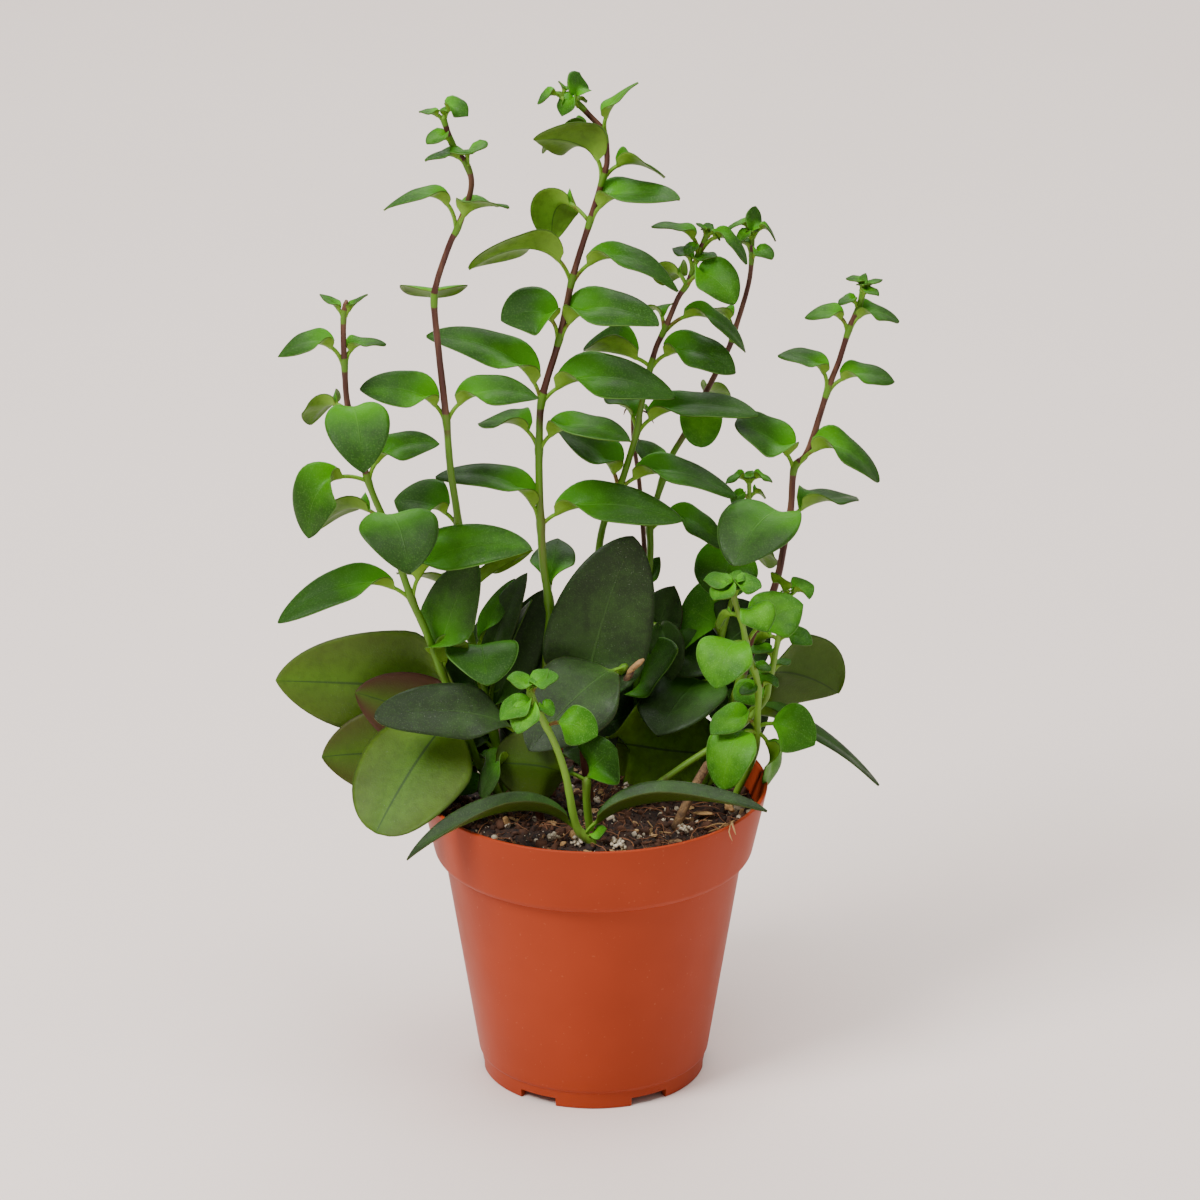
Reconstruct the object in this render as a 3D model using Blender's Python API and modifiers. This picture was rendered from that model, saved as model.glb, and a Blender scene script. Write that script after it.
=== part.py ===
"""Lipstick plant (Aeschynanthus) growing in a round nursery pot.

World units are metres, +Z up, -Y is the front. The origin is the centre of the pot's foot, on the
surface that the pot stands on. Tables below are in millimetres and degrees.
"""
import math
import bmesh
import bpy
from mathutils import Matrix, Vector

MM = 0.001

# --- pot ---------------------------------------------------------------------------------------
POT_HEIGHT = 93.0
RIM_RADIUS = 52.5            # outer radius at the lip
BAND_RADIUS = 47.8           # outer radius at the lower edge of the rim band
BAND_BOTTOM = 71.5           # height of the lower edge of the rim band
BODY_RADIUS = 45.1           # outer radius just under the band
FOOT_RIDGE_RADIUS = 35.0     # outer radius where the body ends
FOOT_RIDGE_HEIGHT = 6.3
FOOT_RADIUS = 33.8           # outer radius of the foot ring
FOOT_RING_WIDTH = 2.2
POT_WALL = 1.3
FLOOR_UNDERSIDE = 3.4
POT_STEPS = 42
NOTCH_COUNT = 6
NOTCH_WIDTH = 12.0
NOTCH_HEIGHT = 2.8
DRAIN_RADIUS = 3.5
DRAIN_RING_RADIUS = 20.0

# --- soil --------------------------------------------------------------------------------------
SOIL_EDGE = 83.0             # height of the surface at the pot wall
SOIL_CROWN = 84.6            # height of the surface in the middle
SOIL_GAP = 0.5
SOIL_STEPS = 42
SOCKET_TOP = 88.0            # sockets are cut to the first point of the stem above this height
SOCKET_CLEARANCE = 0.4

# --- stems and leaves --------------------------------------------------------------------------
ROOT_DEPTH_Z = 73.0          # height of the planted end of every stem
STEM_SAMPLE = 11.0           # spacing of the points along a stem
COLLAR_CLEARANCE = 0.4
COLLAR_RADIUS = 0.75         # radius of the collar's own section
STALK_THICKNESS = 1.3
BLADE_THICKNESS = 0.5
STALK_HALF_WIDTH = 0.8
STALK_LENGTH = 5.0
TIP_HALF_WIDTH = 0.25
BLADE_STATIONS = (0.0, 0.12, 0.28, 0.48, 0.70, 0.88, 1.0)
SMALL_STATIONS = (0.0, 0.2, 0.5, 0.8, 1.0)
SMALL_LEAF = 13.0            # leaves shorter than this take the small stations
BASE_FOLD = 34.0             # how far the two halves of a blade stand up at its base
TIP_FOLD = 6.0

# Route of each stem, root first: right, back and up from the origin. Then the radius at the root
# and at the growing end.
STEMS = {
    "a": (((-27, 6, 73), (-28, 6, 84), (-34, 5, 96), (-38, 3, 106), (-45, 0, 128), (-50, -2, 143),
           (-54, -4, 154), (-61, -7, 178), (-66, -9, 193), (-71, -12, 215), (-72, -13, 230),
           (-72, -14, 244), (-71, -14, 250)), 1.35, 0.8),
    "b": (((-26, 13, 73), (-27, 13, 84), (-31, 12, 108), (-36, 9, 132), (-39, 5, 150),
           (-40, 1, 176), (-42, -2, 194), (-43, -5, 211), (-45, -8, 234), (-46, -8, 247),
           (-45, -8, 254), (-41, -9, 266), (-39, -9, 270), (-35, -10, 282), (-36, -10, 289),
           (-40, -10, 295), (-43, -10, 304)), 1.4, 0.8),
    "c": (((-12, 16, 73), (-12, 16, 84), (-14, 12, 110), (-14, 10, 131), (-13, 10, 144),
           (-15, 10, 160), (-16, 10, 182), (-16, 10, 199), (-15, 10, 212), (-10, 10, 230),
           (-6, 10, 249), (-1, 10, 266), (3, 10, 280), (4, 10, 285), (3, 10, 293),
           (-1, 10, 298), (-5, 10, 302), (-11, 10, 305)), 1.5, 0.8),
    "d": (((-2, 22, 73), (-2, 22, 84), (-1, 21, 120), (2, 20, 163), (8, 21, 180), (13, 22, 197),
           (14, 22, 204), (18, 23, 221), (21, 24, 228), (25, 24, 238), (28, 24, 243),
           (31, 24, 252), (34, 24, 259)), 1.5, 0.7),
    "e": (((9, 30, 73), (10, 30, 84), (14, 29, 120), (17, 29, 153), (17, 30, 164), (19, 31, 172),
           (23, 33, 184), (28, 34, 193), (34, 36, 205), (40, 37, 217), (42, 37, 223),
           (46, 38, 237), (47, 38, 246), (47, 38, 254)), 1.4, 0.7),
    "f": (((33, 16, 73), (33, 16, 84), (43, 16, 115), (50, 18, 135), (55, 20, 150), (57, 21, 160),
           (59, 22, 172), (60, 23, 185), (64, 24, 190), (70, 27, 209), (73, 28, 217),
           (76, 29, 227), (79, 30, 234), (80, 30, 240)), 1.4, 0.8),
    "g": (((28, 28, 73), (28, 28, 84), (36, 33, 115), (44, 38, 145), (46, 40, 160), (47, 40, 168),
           (47, 40, 176)), 1.1, 0.6),
    "h": (((42, 9, 73), (43, 9, 84), (47, 6, 95), (49, 3, 103), (49, 0, 111), (49, -4, 126),
           (46, -7, 137), (44, -10, 148), (42, -12, 155), (41, -12, 160)), 1.2, 0.8),
    "i": (((1, -27, 73), (0, -27, 84), (-5, -29, 91), (-8, -32, 108), (-11, -34, 119),
           (-16, -36, 131), (-19, -36, 138)), 1.35, 0.9),
    "j": (((-1, -18, 73), (-1, -18, 84), (-2, -20, 95), (-2, -20, 103)), 1.4, 1.1),
    "k": (((21, 36, 73), (21, 36, 84), (19, 38, 115), (16, 42, 145), (14, 44, 171),
           (12, 44, 187), (12, 44, 199)), 1.1, 0.6),
    "m": (((10, 1, 73), (11, 1, 84), (26, 5, 95), (42, 9, 105), (51, 9, 115), (53, 7, 124),
           (55, 5, 136), (57, 4, 147), (58, 3, 153)), 1.2, 0.7),
    "n": (((-16, -8, 73), (-16, -8, 84), (-19, -10, 98), (-21, -12, 114)), 1.3, 1.1),
    "o": (((-1, 5, 73), (-1, 5, 84), (-3, 5, 100), (-4, 5, 118)), 1.3, 1.1),
}

# Leaf pairs with a node of their own. For each stem, from the top down: the height of the node,
# then one or two leaves. A leaf is its tip's offset from the node (right, back, up), its width,
# how far its spine bows above the straight line, how far the blade is turned about it, and, where
# it is not the usual one, how far its two halves are folded up.
LEAF_PAIRS = {
    "a": (
        (215, (5, -24, -10, 19, 8, 5), (-12, 12, -8, 14, 4, 0)),
        (193, (-17, -6, -16, 17, 9, -35), (21, 3, 10, 12, 5, 25)),
        (179, (8, -24, -7, 24, 8, 0), (-21, 14, -8, 15, 6, 20)),
        (154, (-39, -8, -5, 14, 8, -25), (36, -10, 19, 18, 4, 55)),
        (129, (11, -4, 33, 16, 3, 70), (19, -20, 8, 21, 6, 5)),
        (114, (-25, -27, -24, 32, 3, -15, 15)),
        (105, (-30, 4, 8, 25, 2, 100, 12)),
        (96, (-44, 6, 13, 17, 3, 100, 15), (6, -3, 4, 6, 2, 0)),
    ),
    "b": (
        (270, (-21, -2, 6, 11, 8, 0), (15, -9, 9, 12, 4, -20)),
        (248, (-1, 20, -6, 20, 3, 0)),
        (210, (-25, -2, 10, 13, 5, -45), (27, 2, 6, 13, 6, 30)),
        (175, (-19, 4, 6, 18, 3, -30)),
        (150, (-20, 13, 3, 12, 3, 20), (21, 4, 14, 9, 2, -50)),
        (117, (-60, 3, 3, 32, 1, 92, 15), (15, 6, 30, 14, 2, 30)),
    ),
    "c": (
        (279, (-20, -4, 13, 14, 6, 50), (18, 4, -1, 12, 4, -10)),
        (266, (25, -8, 9, 15, 6, 10), (-11, 8, -9, 15, 9, 45)),
        (248, (-30, -2, 4, 14, 8, 45), (31, -4, -2, 13, 9, 10)),
        (230, (29, -12, 8, 17, 8, 30), (-17, -4, 7, 17, 6, -45)),
        (211, (39, -4, 2, 20, 7, 45), (-34, 2, 19, 14, 7, -35)),
        (196, (27, -14, 7, 14, 6, 10), (-18, 10, 4, 14, 4, -10)),
        (172, (-31, -4, 16, 13, 8, -20), (42, -6, 3, 17, 5, 30)),
        (147, (3, 16, 14, 14, 4, 0)),
    ),
    "d": (
        (242, (14, -12, -2, 15, 6, 15), (-7, 9, -3, 12, 4, 20)),
        (228, (-4, 10, 3, 11, 4, 0), (24, 0, -7, 11, 8, 10)),
        (217, (-20, 3, 4, 18, 2, 0, 65), (25, -6, 0, 14, 5, 25)),
        (197, (36, -6, 7, 13, 6, 20), (-8, 12, 9, 13, 3, 0)),
        (179, (-18, 0, 18, 17, 4, -20), (35, -5, -1, 14, 7, 15)),
        (101, (40, -12, -4, 28, -3, -80), (-8, 14, 16, 14, 2, 0)),
    ),
    "e": (
        (201, (0, -14, -9, 13, 5, 0), (7, 18, -8, 9, 5, 0)),
        (163, (22, -4, -5, 13, 6, 15), (-12, 5, 1, 10, 4, 0)),
    ),
    "f": (
        (208, (-15, 0, 11, 11, 5, -10), (20, 2, 2, 12, 4, 15)),
        (185, (-18, -4, 15, 19, 2, -35), (26, -2, -6, 15, 8, 5)),
        (169, (-17, -26, -5, 24, 7, -10), (21, 16, 1, 16, 3, 0)),
        (119, (29, 12, -8, 28, 5, -60)),
        (108, (4, 16, 2, 10, 2, 0), (46, -3, -22, 12, 7, 0)),
    ),
    "g": (
        (149, (-6, -14, -7, 21, 6, 0), (9, 10, -6, 12, 4, 0)),
        (112, (-15, -26, -6, 30, 4, 5)),
    ),
    "h": (
        (137, (-11, -14, -5, 17, 6, -10), (16, 6, 11, 16, 3, 40)),
        (111, (-14, -9, 3, 11, 4, -20), (18, 4, -9, 14, 6, 35)),
        (106, (-7, -14, -13, 20, 7, 0), (7, 4, -13, 8, 4, 0)),
    ),
    "i": (
        (88, (-52, -14, -2, 12, 12, 0), (54, -6, 10, 13, 8, 0)),
    ),
    "n": (
        (112, (-43, -8, 14, 20, 4, -40), (32, 6, 20, 26, 3, 55)),
        (107, (2, -9, -14, 20, 3, 0)),
    ),
    "o": (
        (114, (16, 6, 54, 34, 3, 55)),
    ),
}

# Smaller leaves, most of them at the growing ends, which are part of their stem: the same columns.
SMALL_LEAVES = {
    "a": ((245, (-7, 2, 6, 5, 1, 0)), (245, (7, -1, 7, 5, 1, 0)),
          (230, (-19, -2, 3, 12, 6, -10)), (230, (12, 3, 5, 9, 4, 0)),
          (89, (-11, -5, -1, 8, 3, -20))),
    "b": ((303, (-7, 0, 3, 4, 1, 0)), (303, (6, 2, 2, 8, 2, 30)),
          (296, (-7, -2, 3, 6, 1, 30)), (290, (5, -6, 6, 11, 2, -30)),
          (289, (-12, -2, 2, 7, 3, 0)), (104, (17, 4, 32, 12, 3, 40))),
    "c": ((304, (-7, -2, -2, 6, 2, 0)), (304, (0, 3, 7, 4, 1, 0)), (300, (3, 2, 9, 8, 1, 60)),
          (300, (-3, -6, -2, 7, 2, 0)), (293, (10, 3, 14, 7, 3, 30)), (292, (-18, 9, -8, 10, 5, 0))),
    "d": ((257, (-3, 0, 4, 4, 1, 0)), (257, (4, -1, -1, 3, 2, 0)),
          (252, (-14, 0, 8, 7, 4, 0)), (252, (14, -2, -3, 8, 7, 10))),
    "e": ((252, (-8, 0, 2, 5, 4, 0)), (252, (1, 3, 9, 7, 1, 60)), (252, (7, 0, -1, 5, 4, 0)),
          (246, (6, -5, 1, 8, 2, 0)), (222, (-11, 5, 5, 10, 5, 20)),
          (178, (-9, 4, 11, 10, 2, -10)), (178, (8, 6, -3, 5, 2, 0)),
          (141, (4, 3, 12, 6, 2, 30))),
    "f": ((238, (-5, 0, 4, 6, 2, 0)), (238, (6, 2, 3, 4, 1, 0)), (236, (5, -4, 2, 5, 2, 0)),
          (226, (-13, 0, 4, 9, 4, -10)), (226, (15, 2, 2, 11, 5, 10))),
    "g": ((174, (-7, -1, 0, 6, 2, 0)), (174, (7, 0, 0, 6, 2, 0)), (169, (-4, -3, -2, 5, 1, 0)),
          (169, (5, 2, -1, 5, 1, 0)), (128, (-15, 2, 9, 18, 3, 60))),
    "h": ((158, (-9, -1, 6, 8, 1, -20)), (158, (-6, -7, 2, 8, 2, 0)), (158, (8, -2, 3, 9, 1, 20)),
          (151, (8, -8, -2, 12, 4, 20)), (151, (-6, 4, -6, 7, 2, 0))),
    "i": ((135, (-7, -2, 8, 8, 1, -20)), (135, (8, -1, 8, 10, 1, 30)),
          (131, (-6, -10, -1, 13, 4, 0)), (122, (15, 2, -2, 13, 4, 40))),
    "j": ((102, (8, 8, 6, 16, 3, 0)),),
    "k": ((197, (5, -1, -4, 3, 2, 0)), (195, (-4, 1, 2, 3, 1, 0)),
          (128, (6, -16, -12, 12, 6, 40)), (120, (4, 0, 24, 11, 1, 60)),
          (116, (18, -16, 4, 16, 4, 40))),
    "m": ((151, (-4, 0, 6, 6, 1, 30)), (151, (7, 4, 2, 8, 1, 30)),
          (137, (9, -4, -1, 7, 2, 20)), (137, (-6, 5, -5, 8, 2, 0)), (117, (-9, -8, 4, 9, 2, -30))),
}

# --- colours -----------------------------------------------------------------------------------
TERRACOTTA = (0.50, 0.11, 0.04)
PEAT = (0.035, 0.02, 0.012)
STEM_BROWN = (0.13, 0.05, 0.025)
LEAF_GREEN = (0.05, 0.17, 0.025)
YOUNG_GREEN = (0.14, 0.34, 0.05)
YOUNG_STEMS = "hijm"


def clear_scene():
    for thing in list(bpy.data.objects):
        bpy.data.objects.remove(thing, do_unlink=True)


def new_collection(name):
    collection = bpy.data.collections.new(name)
    bpy.context.scene.collection.children.link(collection)
    return collection


def new_material(name, colour, roughness):
    material = bpy.data.materials.new(name)
    material.use_nodes = True
    shader = material.node_tree.nodes["Principled BSDF"]
    shader.inputs["Base Color"].default_value = (*colour, 1.0)
    shader.inputs["Roughness"].default_value = roughness
    shader.inputs["Metallic"].default_value = 0.0
    material.diffuse_color = (*colour, 1.0)
    return material


def new_object(name, mesh, collection, material=None):
    thing = bpy.data.objects.new(name, mesh)
    collection.objects.link(thing)
    if material:
        mesh.materials.append(material)
    return thing


def as_cutter(thing):
    thing.hide_render = True
    thing.display_type = "WIRE"
    return thing


def add_boolean(thing, other, operation):
    boolean = thing.modifiers.new(operation.lower(), "BOOLEAN")
    boolean.operation = operation
    boolean.object = other
    boolean.solver = "EXACT"
    boolean.use_self = operation == "UNION"


def turned(name, profile, steps, collection, material):
    """A solid of revolution about Z. The profile is (radius, height) in mm, up its inner side and
    down its outer side, with both ends on the axis."""
    mesh = bpy.data.meshes.new(name)
    points = [(radius * MM, 0.0, height * MM) for radius, height in profile]
    edges = [(i, i + 1) for i in range(len(points) - 1)]
    mesh.from_pydata(points, edges, [])
    thing = new_object(name, mesh, collection, material)
    screw = thing.modifiers.new("turn", "SCREW")
    screw.steps = steps
    screw.render_steps = steps
    screw.use_merge_vertices = True
    screw.merge_threshold = 0.00002
    screw.use_smooth_shade = True
    return thing


# --- pot and soil ------------------------------------------------------------------------------

def pot_inner_radius(height):
    """Inside radius of the pot's wall at a height above the floor."""
    if height > BAND_BOTTOM:
        share = (height - BAND_BOTTOM) / (POT_HEIGHT - BAND_BOTTOM)
        return BAND_RADIUS + share * (RIM_RADIUS - BAND_RADIUS) - POT_WALL
    share = (height - FOOT_RIDGE_HEIGHT) / (BAND_BOTTOM - FOOT_RIDGE_HEIGHT)
    return FOOT_RIDGE_RADIUS + share * (BODY_RADIUS - FOOT_RIDGE_RADIUS) - POT_WALL


def pot_profile():
    floor_top = FLOOR_UNDERSIDE + POT_WALL
    inner_foot = FOOT_RADIUS - FOOT_RING_WIDTH
    lip = POT_WALL * 0.5
    return [
        (0, floor_top),
        (pot_inner_radius(FOOT_RIDGE_HEIGHT) - 1.2, floor_top),
        (pot_inner_radius(FOOT_RIDGE_HEIGHT), FOOT_RIDGE_HEIGHT),
        (BODY_RADIUS - POT_WALL, BAND_BOTTOM - POT_WALL),
        (BAND_RADIUS - POT_WALL, BAND_BOTTOM + POT_WALL),
        (RIM_RADIUS - POT_WALL, POT_HEIGHT - lip),
        (RIM_RADIUS - POT_WALL * 0.7, POT_HEIGHT),
        (RIM_RADIUS - POT_WALL * 0.25, POT_HEIGHT),
        (RIM_RADIUS, POT_HEIGHT - lip),
        (BAND_RADIUS, BAND_BOTTOM + 0.6),
        (BAND_RADIUS - 0.5, BAND_BOTTOM),
        (BODY_RADIUS, BAND_BOTTOM - 0.4),
        (FOOT_RIDGE_RADIUS, FOOT_RIDGE_HEIGHT),
        (FOOT_RADIUS + 0.3, FOOT_RIDGE_HEIGHT - 0.8),
        (FOOT_RADIUS, 0),
        (inner_foot, 0),
        (inner_foot, FLOOR_UNDERSIDE),
        (0, FLOOR_UNDERSIDE),
    ]


def notch_angles():
    """The notches straddle the front, so that a solid stretch of foot faces forwards."""
    step = math.tau / NOTCH_COUNT
    return [math.radians(-90) + step * (i + 0.5) for i in range(NOTCH_COUNT)]


def make_pot(parts, cutters, material):
    pot = turned("pot", pot_profile(), POT_STEPS, parts, material)
    ring_middle = FOOT_RADIUS - FOOT_RING_WIDTH / 2
    for angle in notch_angles():
        outward = Vector((math.cos(angle), math.sin(angle), 0))
        bpy.ops.mesh.primitive_cube_add(size=1.0, location=outward * ring_middle * MM)
        notch = bpy.context.object
        notch.scale = (FOOT_RING_WIDTH * 3 * MM, NOTCH_WIDTH * MM, NOTCH_HEIGHT * 2 * MM)
        notch.rotation_euler = (0, 0, angle)
        move_to(notch, cutters)
        add_boolean(pot, as_cutter(notch), "DIFFERENCE")
        bpy.ops.mesh.primitive_cylinder_add(
            vertices=12, radius=DRAIN_RADIUS * MM, depth=POT_WALL * 4 * MM,
            location=outward * DRAIN_RING_RADIUS * MM + Vector((0, 0, FLOOR_UNDERSIDE * MM)))
        drain = bpy.context.object
        move_to(drain, cutters)
        add_boolean(pot, as_cutter(drain), "DIFFERENCE")
    return pot


def move_to(thing, collection):
    for owner in list(thing.users_collection):
        owner.objects.unlink(thing)
    collection.objects.link(thing)


def make_soil(parts, material):
    floor = FLOOR_UNDERSIDE + POT_WALL + SOIL_GAP
    step_low = BAND_BOTTOM - POT_WALL
    step_high = BAND_BOTTOM + POT_WALL
    profile = [
        (0, SOIL_CROWN),
        (12, SOIL_CROWN + 0.3),
        (25, SOIL_CROWN - 0.4),
        (38, SOIL_CROWN - 0.6),
        (pot_inner_radius(SOIL_EDGE) - SOIL_GAP - 2, SOIL_EDGE + 0.6),
        (pot_inner_radius(SOIL_EDGE) - SOIL_GAP, SOIL_EDGE),
        (BAND_RADIUS - POT_WALL - SOIL_GAP, step_high + SOIL_GAP),
        (BODY_RADIUS - POT_WALL - SOIL_GAP, step_low),
        (pot_inner_radius(FOOT_RIDGE_HEIGHT) - SOIL_GAP - 0.1, FOOT_RIDGE_HEIGHT),
        (pot_inner_radius(FOOT_RIDGE_HEIGHT) - SOIL_GAP - 1.4, floor),
        (0, floor),
    ]
    return turned("soil", profile, SOIL_STEPS, parts, material)


# --- stems -------------------------------------------------------------------------------------

def smooth_route(points):
    """A Catmull-Rom curve through the points, sampled about every STEM_SAMPLE mm."""
    route = [Vector(point) for point in points]
    ends = [route[0] * 2 - route[1]] + route + [route[-1] * 2 - route[-2]]
    samples = []
    for i in range(1, len(ends) - 2):
        before, start, end, after = ends[i - 1:i + 3]
        count = max(1, round((end - start).length / STEM_SAMPLE))
        for step in range(count):
            t = step / count
            samples.append(0.5 * (2 * start + (end - before) * t
                                  + (2 * before - 5 * start + 4 * end - after) * t ** 2
                                  + (3 * start - before - 3 * end + after) * t ** 3))
    samples.append(route[-1])
    return samples


def radius_at(stem, height):
    """Radius of a stem at a height: its taper runs evenly from the root to the growing end."""
    points, root_radius, end_radius = STEMS[stem]
    low, high = points[0][2], points[-1][2]
    share = min(max((height - low) / (high - low), 0.0), 1.0)
    return root_radius + share * (end_radius - root_radius)


def point_at(stem, height):
    """The stem's centre at a height, and its direction there."""
    samples = smooth_route(STEMS[stem][0])
    for start, end in zip(samples, samples[1:]):
        if start.z <= height <= end.z:
            share = (height - start.z) / (end.z - start.z)
            return start.lerp(end, share), (end - start).normalized()
    raise ValueError(f"stem {stem} does not reach {height} mm")


def tube(name, points, radii, collection, material=None):
    """A closed tube through points, in mm: a curve with a bevel, made a mesh with welded caps."""
    curve = bpy.data.curves.new(name, "CURVE")
    curve.dimensions = "3D"
    curve.bevel_depth = MM
    curve.bevel_resolution = 1
    curve.use_fill_caps = True
    spline = curve.splines.new("POLY")
    spline.points.add(len(points) - 1)
    for slot, point, radius in zip(spline.points, points, radii):
        slot.co = (*(point * MM), 1.0)
        slot.radius = radius
    guide = bpy.data.objects.new(name + "_curve", curve)
    collection.objects.link(guide)
    evaluated = guide.evaluated_get(bpy.context.evaluated_depsgraph_get())
    mesh = bpy.data.meshes.new_from_object(evaluated)
    mesh.name = name
    thing = new_object(name, mesh, collection, material)
    thing.matrix_world = guide.matrix_world
    bpy.data.objects.remove(guide)
    weld(mesh)
    mesh.shade_smooth()
    mesh.set_sharp_from_angle(angle=math.radians(50))
    return thing


def weld(mesh):
    shape = bmesh.new()
    shape.from_mesh(mesh)
    bmesh.ops.remove_doubles(shape, verts=shape.verts, dist=0.00001)
    bmesh.ops.recalc_face_normals(shape, faces=shape.faces)
    shape.to_mesh(mesh)
    shape.free()


def make_stem(stem, parts, cutters, soil, material):
    samples = smooth_route(STEMS[stem][0])
    radii = [radius_at(stem, point.z) for point in samples]
    thing = tube("stem_" + stem, samples, radii, parts, material)
    planted = samples[:1 + next(i for i, point in enumerate(samples) if point.z > SOCKET_TOP)]
    planted[0] = planted[0] - Vector((0, 0, SOCKET_CLEARANCE))
    wider = [radius_at(stem, point.z) + SOCKET_CLEARANCE for point in planted]
    socket = tube("socket_" + stem, planted, wider, cutters)
    add_boolean(soil, as_cutter(socket), "DIFFERENCE")
    lowest_first = sorted(SMALL_LEAVES.get(stem, ()), key=lambda entry: entry[0])
    for number, (height, leaf) in enumerate(lowest_first, start=1):
        blade = make_leaf(f"small_leaf_{stem}{number}", stem, height, leaf, 0.3, cutters)
        add_boolean(thing, as_cutter(blade), "UNION")
    return thing


# --- leaves ------------------------------------------------------------------------------------

def blade_half_width(share, length, width):
    """Half the width at a share of the leaf's length: a narrow stalk, then an ovate blade."""
    stalk = min(STALK_LENGTH / length, 0.3)
    if share <= stalk * 0.6:
        return STALK_HALF_WIDTH
    along = min((share - stalk * 0.6) / (1 - stalk * 0.6), 1.0)
    swell = math.sin(math.pi * along ** 0.8) ** 0.75 if along < 1.0 else 0.0
    return max(width / 2 * swell, STALK_HALF_WIDTH * (1 - along), TIP_HALF_WIDTH)


def make_leaf(name, stem, height, leaf, start_radius, collection):
    """One leaf as an open surface, three points wide, with Solidify for its thickness."""
    right, back, up, width, bow, turn, *folded = leaf
    base_fold = folded[0] if folded else BASE_FOLD
    node, stem_direction = point_at(stem, height)
    offset = Vector((right, back, up))
    outward = (offset - stem_direction * offset.dot(stem_direction)).normalized()
    start = node + outward * start_radius
    tip = node + offset
    chord = tip - start
    length = chord.length
    straight = chord.normalized()
    rise = (Vector((0, 0, 1)) - straight * straight.z).normalized()
    bends = (start, start + chord * 0.22 + rise * bow * 1.3,
             start + chord * 0.68 + rise * bow * 1.2, tip)
    stations = SMALL_STATIONS if length < SMALL_LEAF else BLADE_STATIONS
    sideways = straight.cross(rise)
    points = []
    weights = []
    for share in stations:
        centre, along = on_bezier(bends, share)
        across = Matrix.Rotation(math.radians(turn) * min(share / 0.3, 1.0), 3, along) @ sideways
        above = across.cross(along).normalized()
        half = blade_half_width(share, length, width)
        fold = math.radians(base_fold + (TIP_FOLD - base_fold) * share) if share > 0.05 else 0.0
        edge = across * half * math.cos(fold)
        lift = above * half * math.sin(fold)
        points += [(centre - edge + lift) * MM, centre * MM, (centre + edge + lift) * MM]
        weights += [1.0 if half <= STALK_HALF_WIDTH and share < 0.5 else 0.0] * 3
    faces = []
    for row in range(len(stations) - 1):
        for column in range(2):
            corner = row * 3 + column
            faces.append((corner, corner + 3, corner + 4, corner + 1))
    mesh = bpy.data.meshes.new(name)
    mesh.from_pydata(points, [], faces)
    thing = new_object(name, mesh, collection)
    stalk = thing.vertex_groups.new(name="stalk")
    for index, weight in enumerate(weights):
        stalk.add([index], weight, "REPLACE")
    solid = thing.modifiers.new("thickness", "SOLIDIFY")
    solid.thickness = STALK_THICKNESS * MM
    solid.offset = 0.0
    solid.vertex_group = "stalk"
    solid.thickness_vertex_group = BLADE_THICKNESS / STALK_THICKNESS
    return thing


def on_bezier(bends, share):
    """Point and unit direction on a cubic Bezier curve."""
    first, second, third, last = bends
    rest = 1 - share
    point = (first * rest ** 3 + second * 3 * rest ** 2 * share
             + third * 3 * rest * share ** 2 + last * share ** 3)
    along = ((second - first) * rest ** 2 + (third - second) * 2 * rest * share
             + (last - third) * share ** 2)
    return point, along.normalized()


def make_leaf_pair(stem, number, height, leaves, parts, cutters, material):
    """Opposite leaves, joined by the collar that their stalks form round the stem."""
    node, direction = point_at(stem, height)
    inner = (radius_at(stem, height) + COLLAR_CLEARANCE) / math.cos(math.pi / 8)
    ring_radius = inner + COLLAR_RADIUS
    bpy.ops.mesh.primitive_torus_add(
        major_segments=8, minor_segments=4,
        major_radius=ring_radius * MM, minor_radius=COLLAR_RADIUS * MM)
    collar = bpy.context.object
    collar.name = f"leaves_{stem}{number}"
    collar.data.materials.append(material)
    collar.matrix_world = (Matrix.Translation(node * MM)
                           @ direction.to_track_quat("Z", "Y").to_matrix().to_4x4())
    move_to(collar, parts)
    for side, leaf in enumerate(leaves, start=1):
        blade = make_leaf(f"blade_{stem}{number}_{side}", stem, height, leaf, ring_radius, cutters)
        add_boolean(collar, as_cutter(blade), "UNION")
    return collar


def main():
    clear_scene()
    parts = new_collection("potted_lipstick_plant")
    cutters = new_collection("cutters")
    make_pot(parts, cutters, new_material("pot_plastic", TERRACOTTA, 0.5))
    soil = make_soil(parts, new_material("soil_mix", PEAT, 0.95))
    for stem in STEMS:
        young = stem in YOUNG_STEMS
        stem_look = new_material("stem_" + stem, YOUNG_GREEN if young else STEM_BROWN, 0.45)
        make_stem(stem, parts, cutters, soil, stem_look)
        leaf_look = new_material("leaves_" + stem, YOUNG_GREEN if young else LEAF_GREEN, 0.4)
        for number, (height, *leaves) in enumerate(LEAF_PAIRS.get(stem, ()), start=1):
            make_leaf_pair(stem, number, height, leaves, parts, cutters, leaf_look)


main()
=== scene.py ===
"""Looks of the potted lipstick plant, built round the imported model.

Tables are in millimetres and degrees, in the frame's axes: right, back and up from the middle of
the pot's foot. Meshes are in metres.
"""
import math
import random
import bmesh
import bpy
from mathutils import Matrix, Vector, noise


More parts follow.
